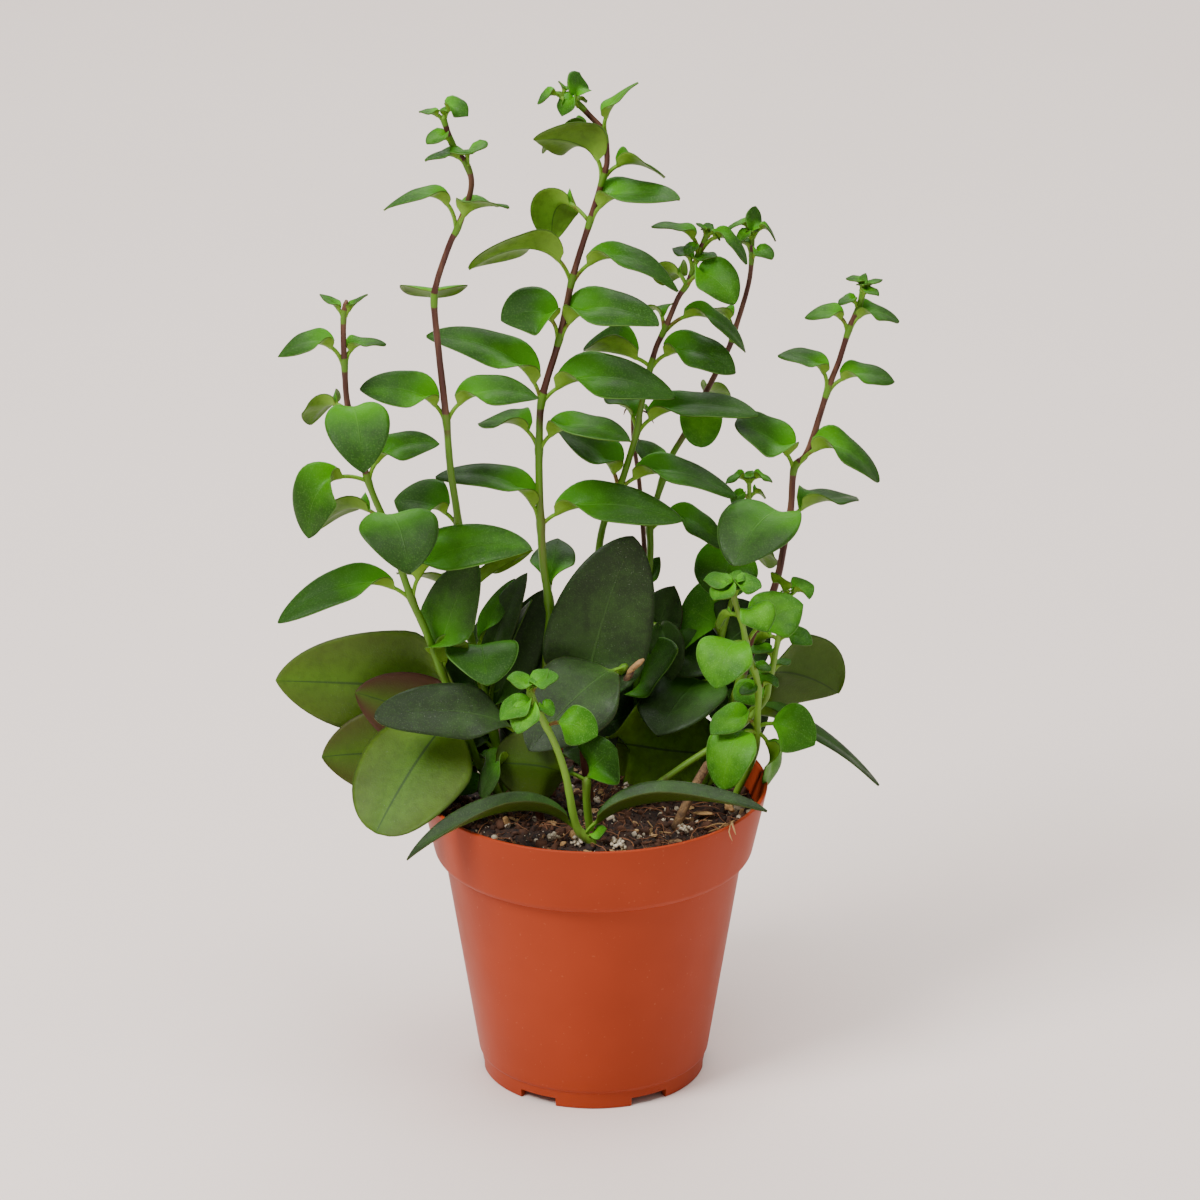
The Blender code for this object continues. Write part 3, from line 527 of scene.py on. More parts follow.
def point_at(stem, height):
    """The stem's centre at a height, and its direction there."""
    samples = smooth_route(STEMS[stem][3:], 11.0)
    for start, end in zip(samples, samples[1:]):
        if start.z <= height <= end.z:
            share = (height - start.z) / (end.z - start.z)
            return start.lerp(end, share), (end - start).normalized()
    raise ValueError(f"stem {stem} does not reach {height} mm")


def stem_youth(stem):
    return STEM_YOUTH.get(stem, USUAL_YOUTH)


def bark_brown(stem, height, near, below):
    """How brown the bark is: green at a node, which is near, and just below one."""
    green = max(math.exp(-(near / NODE_REACH) ** 4), ease(1 - below / 3.0))
    aged = ease((height - STEMS[stem][2]) / BROWN_SPAN + 0.5)
    return max(aged, 0.36 - stem_youth(stem) * 0.3) * (1 - green)


def add_stem(shape, stem):
    samples = smooth_route(STEMS[stem][3:], STEM_SPACING)
    heights = {row[0] for table in (LEAF_PAIRS, SMALL_LEAVES) for row in table.get(stem, ())}
    nodes = [point_at(stem, height)[0] for height in sorted(heights)]
    rings = []
    for index, (centre, side, other) in enumerate(across_path(samples, (0.3, 1, 0))):
        near = min(((centre - node).length for node in nodes), default=FAR)
        below = min((node.z - centre.z for node in nodes if node.z > centre.z - 1), default=FAR)
        look = (stem_youth(stem), 0, 0, bark_brown(stem, centre.z, near, below))
        swelling = 1 + NODE_SWELLING * math.exp(-(near / NODE_REACH) ** 2)
        radius = radius_at(stem, centre.z) * swelling
        if index == len(samples) - 1:
            radius *= 0.5
        ring = []
        for corner, angle in enumerate(circle(STEM_SIDES)):
            rough = 1 + BARK_UNEVENNESS * noise.noise(centre * 0.35 + heading_at(angle))
            outward = side * math.cos(angle) + other * math.sin(angle)
            spread = (corner / STEM_SIDES, centre.z / 300)
            ring.append(shape.point(centre + outward * radius * rough, spread, look))
        rings.append(ring)
    shape.loft(rings, BARK)
    for ring, order in ((rings[0], -1), (rings[-1], 1)):
        shape.face(tuple(ring[::order]), BARK)


# --- leaves ---

def leaf_look(stem, height, name, seed):
    """Youth, redness, dust and shade of one leaf; on some leaves the dust is painted highlight."""
    youth = stem_youth(stem) + max(height - AGEING_HEIGHT, 0) / AGEING_SPAN
    usual = (youth, USUAL_REDNESS, USUAL_DUST)
    return (*LOOKS.get(seed, LOOKS.get(name, usual)), random.Random(seed + "shade").random())


def leaf_spine(stem, height, offset, bow):
    """Bezier points of a leaf's spine, its straight length, and the direction across it."""
    node, stem_direction = point_at(stem, height)
    outward = (offset - stem_direction * offset.dot(stem_direction)).normalized()
    start = node + outward * radius_at(stem, height) * STALK_START
    tip = node + offset
    chord = tip - start
    straight = chord.normalized()
    rise = (UP - straight * straight.z).normalized()
    handles = [start + chord * share + rise * bow * lift for share, lift in SPINE_HANDLES]
    return (start, *handles, tip), chord.length, straight.cross(rise)


def on_bezier(bends, share):
    """Point and unit direction on a cubic Bezier curve."""
    first, second, third, last = bends
    rest = 1 - share
    point = (first * rest ** 3 + second * 3 * rest ** 2 * share
             + third * 3 * rest * share ** 2 + last * share ** 3)
    along = ((second - first) * rest ** 2 + (third - second) * 2 * rest * share
             + (last - third) * share ** 2)
    return point, along.normalized()


def half_width(along, width, fullness, tip):
    """Half the width of an ovate blade. Its base is a wedge at fullness 0 and round at 1."""
    if along > WIDEST:
        to_tip = (along - WIDEST) / (1 - WIDEST)
        swell = (1 - to_tip ** 2) ** tip
    else:
        to_base = 1 - along / WIDEST
        wedge = 0.5 + 0.5 * math.cos(math.pi * to_base)
        swell = blend(wedge, (1 - to_base ** 2.2) ** 0.6, fullness)
    return max(width / 2 * swell, TIP_HALF_WIDTH)


def across_profile(along, funnel, usual, columns):
    """(sideways, up, slope) of each column of a blade's half, from the midrib out, for a half
    width of 1. The blade's halves are folded up, and each curls back down towards its edge."""
    fold = blend(funnel, usual, ease((along - FUNNEL_START) / FUNNEL_SHARE))
    tip_fold = min(max(TIP_FOLD, usual - TIP_OPENS), usual)
    fold = blend(fold, tip_fold, (along - TIP_START) * TIP_HASTE)
    most_curl = BLADE_CURL if usual < STEEP_FOLD else STEEP_CURL
    curl = min(most_curl, fold * CURL_PER_FOLD) * ease(along / 0.5)
    steps = 6
    out, lift = 0.0, 0.0
    profile = []
    for index in range(columns * steps + 1):
        reach = index / (columns * steps)
        slope = math.radians(fold * (1 - math.exp(-reach / CREASE_REACH)) - curl * reach)
        if index % steps == 0:
            profile.append((out, lift, slope))
        out += math.cos(slope) / (columns * steps)
        lift += math.sin(slope) / (columns * steps)
    return profile


def turn_blade(sideways, forward, turn, share, stalk):
    """Directions across the blade and out of its upper side, where it is turned about its spine."""
    ramp = share / stalk if abs(turn) > TURNED_OVER else ease((share - stalk) / TURN_SHARE)
    across = Matrix.Rotation(math.radians(turn) * min(ramp, 1.0), 3, forward) @ sideways
    above = across.cross(forward).normalized()
    return forward.cross(above).normalized(), above


def leaf_thickness(along, reach, leafy):
    """Thickness at a share of the half width, from the midrib's to the edge's."""
    middle = blend(STALK_RADIUS * 2, MIDRIB_THICKNESS, ease(along / 0.2))
    middle *= blend(1.0, TIP_THICKNESS, along)
    flat = blend(middle, EDGE_THICKNESS, reach ** 0.6)
    return blend(middle * math.sqrt(1 - reach ** 2), flat, leafy)


def leaf_rows(stalk, rows):
    """(share of the whole length, share of the blade) of each row of points."""
    for row in range(STALK_ROWS):
        yield stalk * row / STALK_ROWS, 0.0
    for row in range(rows + 1):
        along = 0.5 - 0.5 * math.cos(math.pi * row / rows)
        along = 0.65 * along + 0.35 * row / rows
        yield stalk + (1 - stalk) * along, along


def add_leaf(shape, stem, height, leaf, name, seed, detail):
    """One leaf: a round stalk that opens as a funnel into a folded, fleshy blade."""
    right, back, up, width, bow, turn, *folded = leaf if len(leaf) > 5 else (*leaf, 0)
    look = leaf_look(stem, height, name, seed)
    usual = folded[0] if folded else USUAL_FOLD
    funnel = usual if folded else FUNNEL_FOLD
    bends, length, sideways = leaf_spine(stem, height, Vector((right, back, up)), bow)
    stalk = min(STALK_LENGTH / length, STALK_SHARE_MOST) * ROUND_SHARE
    draw = random.Random(seed)
    phases = (draw.uniform(0, 6), draw.uniform(0, 6))
    wave = EDGE_WAVE * width / WAVE_WIDTH * (1 + look[0])
    outline = YOUNG_OUTLINE if look[0] > YOUNG else USUAL_OUTLINE
    fullness, tip_power = OUTLINES.get(name, outline)
    rows, columns = detail
    rings = []
    for share, along in leaf_rows(stalk, rows):
        centre, forward = on_bezier(bends, share)
        across, above = turn_blade(sideways, forward, turn, share, stalk)
        profile = across_profile(along, funnel, usual, columns)
        leafy = ease(along / LEAFY_SHARE)
        blade = max(half_width(along, width, fullness, tip_power), STALK_RADIUS * (1 - along))
        half = blend(STALK_RADIUS, blade, leafy)
        top = []
        under = []
        for column in range(-columns, columns + 1):
            reach = abs(column) / columns
            side = 1 if column >= 0 else -1
            out, lift, slope = (part * leafy for part in profile[abs(column)])
            out = half * blend(reach, out, leafy)
            ripple = wave * reach ** 3 * math.sin(along * WAVE_PACE + phases[side > 0]) * leafy
            spot = centre + across * side * out + above * (lift * half + ripple)
            away = above * math.cos(slope) - across * side * math.sin(slope)
            thick = leaf_thickness(along, reach, leafy)
            rib = math.exp(-(reach / RIDGE_REACH) ** 2) * leafy * (1 - along)
            spread = (0.5 + 0.5 * side * reach, along if along > 0 else share / stalk - 1)
            top.append(shape.point(spot + away * (thick / 2 - GROOVE_DEPTH * rib), spread, look))
            under.append(shape.point(spot - away * (thick / 2 + RIDGE_HEIGHT * rib), spread, look))
        rings.append((top, under))
    join_leaf_rows(shape, rings)


def join_leaf_rows(shape, rings):
    """Faces between the rows of a leaf, along its edges and over its two ends."""
    for (top, under), (next_top, next_under) in zip(rings, rings[1:]):
        for i in range(len(top) - 1):
            shape.face((top[i], next_top[i], next_top[i + 1], top[i + 1]), LEAF_TOP)
            shape.face((under[i + 1], next_under[i + 1], next_under[i], under[i]), LEAF_UNDER)
        shape.face((under[0], next_under[0], next_top[0], top[0]), LEAF_UNDER)
        shape.face((top[-1], next_top[-1], next_under[-1], under[-1]), LEAF_UNDER)
    for (top, under), order in ((rings[0], 1), (rings[-1], -1)):
        for i in range(len(top) - 1):
            corners = (top[i], top[i + 1], under[i + 1], under[i])
            shape.face(corners[::order], LEAF_UNDER)


def make_plant():
    materials = (make_leaf_top(), make_leaf_under(), make_bark())
    for stem in STEMS:
        shoot = Shape()
        add_stem(shoot, stem)
        rows = SMALL_LEAVES.get(stem, ())
        small = [(height, leaf) for height, *leaves in rows for leaf in leaves]
        for number, (height, leaf) in enumerate(small):
            detail = COARSE if Vector(leaf[:3]).length < SMALL_LEAF else FINE
            seed = f"{stem}{number}small"
            add_leaf(shoot, stem, height, leaf, seed, seed, detail)
        place(shoot.build("shoot_" + stem, materials), "stem_" + stem, "stem_" + stem)
        for number, (height, *leaves) in enumerate(LEAF_PAIRS.get(stem, ()), start=1):
            foliage = Shape()
            name = f"{stem}{number}"
            for side, leaf in enumerate(leaves):
                add_leaf(foliage, stem, height, leaf, name, name + str(side), FINE)
            place(foliage.build("foliage_" + name, materials), "leaves_" + stem, "leaves_" + name)


# --- materials ---

# Sockets of a Mix node that mixes colours.
MIX_SHARE = 0
MIX_FIRST = 6
MIX_SECOND = 7
MIX_RESULT = 2


class Surface:
    """A Principled material and short ways to add nodes to it."""

    def __init__(self, name, roughness=0.5, **settings):
        self.material = bpy.data.materials.new(name)
        self.material.use_nodes = True
        self.nodes = self.material.node_tree.nodes
        self.links = self.material.node_tree.links
        self.shader = self.nodes["Principled BSDF"]
        self.shader.inputs["Roughness"].default_value = roughness
        for key, value in settings.items():
            self.shader.inputs[key.replace("_", " ")].default_value = value

    def node(self, kind, inputs=None, **settings):
        made = self.nodes.new("ShaderNode" + kind)
        for key, value in settings.items():
            setattr(made, key, value)
        for key, value in (inputs or {}).items():
            self.feed(made.inputs[key], value)
        return made

    def feed(self, socket, value):
        if isinstance(value, bpy.types.NodeSocket):
            self.links.new(value, socket)
        else:
            socket.default_value = value

    def colour(self, value):
        self.feed(self.shader.inputs["Base Color"], value)

    def roughness(self, value):
        self.feed(self.shader.inputs["Roughness"], value)

    def math(self, operation, *values):
        made = self.node("Math", operation=operation)
        for socket, value in zip(made.inputs, values):
            self.feed(socket, value)
        return made.outputs[0]

    def times(self, first, second):
        return self.math("MULTIPLY", first, second)

    def sum(self, value, share, rest):
        """The value times its share, plus the rest."""
        return self.math("MULTIPLY_ADD", value, share, rest)

    def band(self, value, low, high, out_low=0.0, out_high=1.0):
        """A smooth step from low to high."""
        made = self.node("MapRange", {"Value": value, "From Min": low, "From Max": high,
                                      "To Min": out_low, "To Max": out_high},
                         interpolation_type="SMOOTHSTEP")
        return made.outputs["Result"]

    def mix(self, share, first, second):
        made = self.node("Mix", data_type="RGBA")
        self.feed(made.inputs[MIX_SHARE], share)
        self.feed(made.inputs[MIX_FIRST], first)
        self.feed(made.inputs[MIX_SECOND], second)
        return made.outputs[MIX_RESULT]

    def noise(self, scale, detail=3.0, rough=0.55, stretch=None):
        where = self.node("TexCoord").outputs["Object"]
        if stretch:
            where = self.node("Mapping", {"Vector": where, "Scale": stretch}).outputs[0]
        return self.node("TexNoise", {"Vector": where, "Scale": scale, "Detail": detail,
                                      "Roughness": rough}).outputs["Fac"]

    def bump(self, height, strength, distance):
        made = self.node("Bump", {"Height": height, "Strength": strength, "Distance": distance})
        self.links.new(made.outputs[0], self.shader.inputs["Normal"])


def look_parts(skin):
    """The four parts of a point's look. The last is a leaf's shade, and on bark how brown it is."""
    spots = skin.node("Attribute", attribute_name="look")
    parts = skin.node("SeparateColor", {"Color": spots.outputs["Color"]})
    return (*parts.outputs, spots.outputs["Alpha"])


def place_parts(skin):
    """Distance from the midrib, 0 to 1, and share of the way to the tip, below 0 on the stalk."""
    where = skin.node("UVMap", uv_map="place").outputs[0]
    parts = skin.node("SeparateXYZ", {"Vector": where})
    from_middle = skin.math("ABSOLUTE", skin.math("SUBTRACT", parts.outputs[0], 0.5))
    return skin.times(from_middle, 2.0), parts.outputs[1]


OLD_GREEN = (0.036, 0.078, 0.018, 1)
OLD_DEEP = (0.020, 0.032, 0.013, 1)
FULL_GREEN = (0.034, 0.135, 0.002, 1)
FULL_DEEP = (0.017, 0.058, 0.004, 1)
FRESH_GREEN = (0.100, 0.330, 0.010, 1)
FRESH_DEEP = (0.032, 0.135, 0.006, 1)
BASE_GREEN = (0.075, 0.340, 0.001, 1)
PALE_GREEN = (0.180, 0.400, 0.080, 1)
STALK_GREEN = (0.150, 0.320, 0.028, 1)
STALK_RED = (0.150, 0.085, 0.025, 1)
UNDER_GREEN = (0.110, 0.255, 0.016, 1)
UNDER_DEEP = (0.034, 0.078, 0.004, 1)
UNDER_FRESH = (0.120, 0.290, 0.010, 1)
UNDER_BASE = (0.190, 0.380, 0.030, 1)
RIB_GREEN = (0.015, 0.035, 0.008, 1)
EDGE_GREEN = (0.016, 0.045, 0.008, 1)
WINE_RED = (0.060, 0.014, 0.012, 1)
# Pale specks of dust; on a few leaves they are painted highlight.
DUST_AND_SHEEN = (0.30, 0.33, 0.26, 1)
BARK_BROWN = (0.058, 0.017, 0.011, 1)
BARK_PALE = (0.120, 0.052, 0.028, 1)
STEM_GREEN = (0.080, 0.195, 0.010, 1)
STEM_FRESH = (0.190, 0.380, 0.040, 1)
CLAY = (0.325, 0.042, 0.012, 1)
CLAY_DEEP = (0.285, 0.036, 0.010, 1)
CLAY_SPECK = (0.55, 0.15, 0.07, 1)
PEAT_DARK = (0.007, 0.003, 0.002, 1)
PEAT_BROWN = (0.060, 0.022, 0.009, 1)
FLOOR_LIGHT = (0.88, 0.76, 0.70, 1)
FLOOR_DEEP = (0.86, 0.74, 0.68, 1)

# Finish of each kind of loose piece: its dark and light colour, its roughness, the scale of its
# noise and the depth of its relief in metres.
GRAIN_FINISHES = {
    "peat_crumb": (PEAT_DARK, (0.085, 0.030, 0.011, 1), 0.85, 500.0, 0.0004),
    "perlite": ((0.22, 0.17, 0.10, 1), (0.68, 0.59, 0.44, 1), 0.75, 420.0, 0.0003),
    "bark_chip": ((0.10, 0.040, 0.014, 1), (0.48, 0.29, 0.12, 1), 0.75, 300.0, 0.0003),
    "litter_skin": ((0.040, 0.016, 0.008, 1), (0.42, 0.24, 0.09, 1), 0.8, 600.0, 0.0005),
    "peat_fibre": ((0.060, 0.020, 0.008, 1), (0.30, 0.12, 0.045, 1), 0.7, 200.0, 0.0002),
}


def leaf_green(skin, youth, old, full, fresh):
    lower = skin.mix(skin.band(youth, 0.0, 0.35), old, full)
    return skin.mix(skin.band(youth, 0.35, 1.0), lower, fresh)


def finish_leaf(skin, green, edge, redness, dust_and_sheen, off_middle, along):
    """Adds the rim, fine pale specks of dust in drifts, and the stalk's colour below the blade.
    On a few leaves the specks are painted highlight, and a young upper side's pale rim is partly
    painted highlight where its fine edge hairs catch the light.
    """
    rim = skin.band(off_middle, 0.95, 1.0, 0.0, 0.6)
    green = skin.mix(rim, green, skin.mix(redness, edge, WINE_RED))
    specks = skin.band(skin.noise(3000.0, 1.0), 0.68, 0.80, 0.0, 0.55)
    drifts = skin.band(skin.noise(70.0, 2.0), 0.40, 0.62, 0.15, 1.0)
    green = skin.mix(skin.times(skin.times(specks, drifts), dust_and_sheen), green, DUST_AND_SHEEN)
    tinge = skin.mix(skin.band(skin.noise(180.0), 0.52, 0.68), STALK_GREEN, STALK_RED)
    skin.colour(skin.mix(skin.band(along, -0.05, 0.10), tinge, green))


def make_leaf_top():
    skin = Surface("leaf_top", Specular_IOR_Level=0.11, Subsurface_Weight=0.12,
                   Subsurface_Scale=0.0012, Subsurface_Radius=(0.35, 1.0, 0.15))
    youth, redness, dust_and_sheen, shade = look_parts(skin)
    off_middle, along = place_parts(skin)
    light = leaf_green(skin, youth, OLD_GREEN, FULL_GREEN, FRESH_GREEN)
    deep = leaf_green(skin, youth, OLD_DEEP, FULL_DEEP, FRESH_DEEP)
    depth = skin.sum(along, 0.55, skin.times(shade, 0.45))
    depth = skin.sum(skin.noise(110.0, 4.0), 1.1, depth)
    depth = skin.sum(off_middle, 0.25, depth)
    depth = skin.sum(skin.noise(450.0), 0.5, depth)
    green = skin.mix(skin.band(depth, 0.90, 1.70), light, deep)
    near_base = skin.times(skin.band(along, 0.60, 0.0), skin.band(youth, 0.0, 0.3, 0.0, 0.75))
    green = skin.mix(near_base, green, BASE_GREEN)
    midrib_width = skin.sum(along, -0.030, 0.045)
    midrib = skin.band(skin.math("DIVIDE", off_middle, midrib_width), 1.0, 0.3)
    pale = skin.mix(0.5, green, PALE_GREEN)
    midrib_shown = skin.times(skin.band(along, 1.0, 0.0, 0.05, 0.4),
                              skin.band(youth, 0.0, 0.3, 0.5, 1.0))
    green = skin.mix(skin.times(midrib, midrib_shown), green, pale)
    dots = skin.band(skin.noise(2300.0, 1.0), 0.52, 0.70, 0.0, 0.5)
    green = skin.mix(skin.times(dots, skin.band(youth, 0.0, 1.0, 0.25, 1.0)), green, pale)
    # A young upper side's pale rim is partly painted highlight, where fine edge hairs catch the
    # light; an old leaf's dark rim is its own colour.
    edge = skin.mix(skin.band(youth, 0.1, 0.4), EDGE_GREEN, PALE_GREEN)
    finish_leaf(skin, green, edge, redness, dust_and_sheen, off_middle, along)
    gloss = skin.sum(youth, 0.10, skin.noise(260.0, 2.0))
    skin.roughness(skin.band(gloss, 0.3, 0.8, 0.33, 0.50))
    height = skin.sum(skin.noise(700.0, 2.0), 0.45, skin.times(midrib, -0.8))
    skin.bump(skin.sum(skin.noise(2300.0, 1.0), 0.5, height), 0.6, 0.00025)
    return skin.material


def make_leaf_under():
    skin = Surface("leaf_underside", Specular_IOR_Level=0.15, Subsurface_Weight=0.12,
                   Subsurface_Scale=0.0012, Subsurface_Radius=(0.5, 1.0, 0.15))
    youth, redness, dust_and_sheen, shade = look_parts(skin)
    off_middle, along = place_parts(skin)
    green = leaf_green(skin, youth, UNDER_DEEP, UNDER_GREEN, UNDER_FRESH)
    depth = skin.sum(shade, 0.4, skin.noise(130.0, 4.0))
    green = skin.mix(skin.band(depth, 0.45, 1.1, 0.0, 0.65), green, UNDER_DEEP)
    mottle = skin.band(skin.noise(420.0, 4.0, 0.65), 0.42, 0.68, 0.0, 0.4)
    green = skin.mix(mottle, green, UNDER_DEEP)
    paler = skin.times(skin.band(along, 0.40, 0.0), skin.band(youth, 0.0, 0.3, 0.2, 0.8))
    green = skin.mix(paler, green, UNDER_BASE)
    blush = skin.times(skin.band(off_middle, -0.3, 1.0), redness)
    green = skin.mix(blush, green, WINE_RED)
    midrib = skin.band(off_middle, 0.035, 0.01, 0.0, 0.7)
    green = skin.mix(midrib, green, RIB_GREEN)
    finish_leaf(skin, green, EDGE_GREEN, redness, dust_and_sheen, off_middle, along)
    skin.bump(skin.sum(skin.noise(2000.0, 1.0), 0.4, skin.noise(500.0)), 0.5, 0.00025)
    return skin.material


def make_bark():
    skin = Surface("stem_skin", roughness=0.42, Specular_IOR_Level=0.25)
    youth, _, _, brown = look_parts(skin)
    streaks = skin.noise(300.0, 3.0, 0.6, (1, 1, 0.10))
    bark = skin.mix(skin.band(streaks, 0.42, 0.65), BARK_BROWN, BARK_PALE)
    green = skin.mix(skin.band(youth, 0.3, 1.0), STEM_GREEN, STEM_FRESH)
    bronze = skin.band(streaks, 0.50, 0.75, 0.0, 0.5)
    green = skin.mix(bronze, green, BARK_PALE)
    patchy = skin.sum(skin.noise(240.0, 2.0, 0.5, (1, 1, 0.2)), 0.7, brown)
    skin.colour(skin.mix(skin.band(patchy, 0.70, 0.95), green, bark))
    skin.bump(skin.noise(900.0, 3.0, 0.6, (1, 1, 0.35)), 0.5, 0.0002)
    return skin.material


def make_pot_plastic():
    plastic = Surface("pot_plastic_finish", Specular_IOR_Level=0.1)
    clay = plastic.mix(plastic.band(plastic.noise(22.0), 0.3, 0.7), CLAY, CLAY_DEEP)
    specks = plastic.band(plastic.noise(900.0, 1.0), 0.72, 0.78, 0.0, 0.25)
    plastic.colour(plastic.mix(specks, clay, CLAY_SPECK))
    smears = plastic.noise(40.0, 4.0, 0.6, (1, 1, 0.4))
    plastic.roughness(plastic.band(smears, 0.3, 0.7, 0.38, 0.5))
    plastic.bump(plastic.noise(1300.0, 2.0), 0.12, 0.0001)
    return plastic.material


def make_peat():
    peat = Surface("peat", roughness=0.9)
    grain = peat.band(peat.noise(420.0, 5.0, 0.7), 0.35, 0.7)
    peat.colour(peat.mix(grain, PEAT_DARK, PEAT_BROWN))
    peat.bump(peat.noise(800.0, 4.0, 0.7), 0.9, 0.0006)
    return peat.material


def make_grain_finish(name):
    """From dark to light by the grain's own tone and by noise."""
    dark, light, roughness, scale, relief = GRAIN_FINISHES[name]
    grain = Surface(name, roughness=roughness)
    tone = look_parts(grain)[0]
    mixed = grain.sum(grain.noise(scale, 4.0, 0.7), 0.9, tone)
    grain.colour(grain.mix(grain.band(mixed, 0.35, 1.15), dark, light))
    grain.bump(grain.noise(scale * 2, 3.0, 0.7), 0.8, relief)
    return grain.material


def make_floor_paint():
    paint = Surface("floor_paint", roughness=0.8)
    paint.colour(paint.mix(paint.band(paint.noise(3.0), 0.3, 0.7), FLOOR_LIGHT, FLOOR_DEEP))
    return paint.material


# --- pot ---

def turned(name, profile, steps, material):
    """A profile of (radius, height), turned about the pot's axis."""
    mesh = bpy.data.meshes.new(name)
    points = [(radius * MM, 0, height * MM) for radius, height in profile]
    mesh.from_pydata(points, [(i, i + 1) for i in range(len(points) - 1)], [])
    thing = new_object(name, mesh)
    screw = thing.modifiers.new("turn", "SCREW")
    screw.steps = steps
    screw.render_steps = steps
    screw.use_merge_vertices = True
    screw.merge_threshold = 0.00001
    screw.use_smooth_shade = True
    apply_modifiers(thing)
    thing.data.materials.append(material)
    return thing


def apply_modifiers(thing):
    graph = bpy.context.evaluated_depsgraph_get()
    flat = bpy.data.meshes.new_from_object(thing.evaluated_get(graph))
    thing.modifiers.clear()
    thing.data = flat


def rounded(corners, radius, steps=4):
    """The outline with each inner corner rounded."""
    outline = [corners[0]]
    for before, corner, after in zip(corners, corners[1:], corners[2:]):
        here = Vector(corner)
        back = Vector(before) - here
        ahead = Vector(after) - here
        cut = min(radius, back.length * 0.45, ahead.length * 0.45)
        start = here + back.normalized() * cut
        end = here + ahead.normalized() * cut
        for step in range(steps + 1):
            t = step / steps
            outline.append(tuple(start * (1 - t) ** 2 + here * 2 * t * (1 - t) + end * t ** 2))
    outline.append(corners[-1])
    return outline


def pot_section():
    """Corners of the pot's section, from the top of its floor over the rim to its underside."""
    floor_top = FLOOR_UNDERSIDE + POT_WALL
    inner_ridge = FOOT_RIDGE_RADIUS - POT_WALL
    inner_foot = FOOT_RADIUS - FOOT_RING_WIDTH
    return [
        (0, floor_top),
        (inner_ridge - 1.2, floor_top),
        (inner_ridge, FOOT_RIDGE_HEIGHT),
        (BODY_RADIUS - POT_WALL, BAND_BOTTOM - POT_WALL),
        (BAND_RADIUS - POT_WALL, BAND_BOTTOM + POT_WALL),
        (RIM_RADIUS - POT_WALL, POT_HEIGHT),
        (RIM_RADIUS, POT_HEIGHT),
        (BAND_RADIUS + 0.3, BAND_BOTTOM + 1.2),
        (BAND_RADIUS - 0.6, BAND_BOTTOM - 0.2),
        (BODY_RADIUS, BAND_BOTTOM - 0.6),
        (FOOT_RIDGE_RADIUS, FOOT_RIDGE_HEIGHT),
        (FOOT_RADIUS + 0.3, FOOT_RIDGE_HEIGHT - 0.9),
        (FOOT_RADIUS, 0),
        (inner_foot, 0),
        (inner_foot, FLOOR_UNDERSIDE),
        (0, FLOOR_UNDERSIDE),
    ]


def pot_cutters():
    """A block for each notch in the foot and a rod for each drain hole."""
    cutters = []
    for step in range(NOTCH_COUNT):
        angle = math.radians(60 * step - 60)
        outward = heading_at(angle)
        middle = outward * (FOOT_RADIUS - FOOT_RING_WIDTH / 2) * MM
        bpy.ops.mesh.primitive_cube_add(size=1.0, location=middle)
        notch = bpy.context.object
        notch.scale = (FOOT_RING_WIDTH * 3 * MM, NOTCH_WIDTH * MM, NOTCH_HEIGHT * 2 * MM)
        notch.rotation_euler = (0, 0, angle)
        bpy.ops.mesh.primitive_cylinder_add(
            vertices=32, radius=DRAIN_RADIUS * MM, depth=POT_WALL * 4 * MM,
            location=outward * DRAIN_RING_RADIUS * MM + UP * FLOOR_UNDERSIDE * MM)
        cutters += [notch, bpy.context.object]
    return cutters


def make_pot():
    section = rounded(pot_section(), POT_ROUNDING)
    pot = turned("pot_shell", section, POT_STEPS, make_pot_plastic())
    cutters = pot_cutters()
    for cutter in cutters:
        cut = pot.modifiers.new("cut", "BOOLEAN")
        cut.operation = "DIFFERENCE"
        cut.solver = "EXACT"
        cut.object = cutter
    apply_modifiers(pot)
    for cutter in cutters:
        bpy.data.objects.remove(cutter)
    pot.data.set_sharp_from_angle(angle=math.radians(POT_EDGE_ANGLE))
    place(pot, "pot_plastic", "pot")


# --- soil ---

def soil_height(right, back):
    """Height of the lumpy surface of the soil."""
    away = math.hypot(right, back) / SOIL_EDGE_RADIUS
    lumps = noise.fractal(Vector((right, back, 0)) * 0.16, 0.8, 2.1, 4)
    fine_lumps = noise.noise(Vector((right, back, 7)) * 0.9)
    level = SOIL_HEIGHT - SOIL_DROOP * away ** 4
    return level + LUMP_HEIGHT * lumps + FINE_LUMP_HEIGHT * fine_lumps


def on_soil(right, back, raised=0.0):
    return Vector((right, back, soil_height(right, back) + raised))


def soil_ring(shape, radius, height_at):
    ring = []
    for angle in circle(SOIL_STEPS):
        right, back = radius * math.cos(angle), radius * math.sin(angle)
        ring.append(shape.point(Vector((right, back, height_at(right, back)))))
    return ring


def make_soil():
    shape = Shape()
    rings = [soil_ring(shape, SOIL_EDGE_RADIUS * row / SOIL_ROWS, soil_height)
             for row in range(SOIL_ROWS, 0, -1)]
    foot = soil_ring(shape, SOIL_FOOT_RADIUS, lambda right, back: SOIL_DEPTH)
    shape.loft([foot] + rings, 0)
    middle = shape.point(on_soil(0, 0))
    last = rings[-1]
    for i in range(SOIL_STEPS):
        shape.face((last[i], last[(i + 1) % SOIL_STEPS], middle), 0)
    shape.face(tuple(foot[::-1]), 0)
    place(shape.build("soil_surface", (make_peat(),)), "soil_mix", "soil")


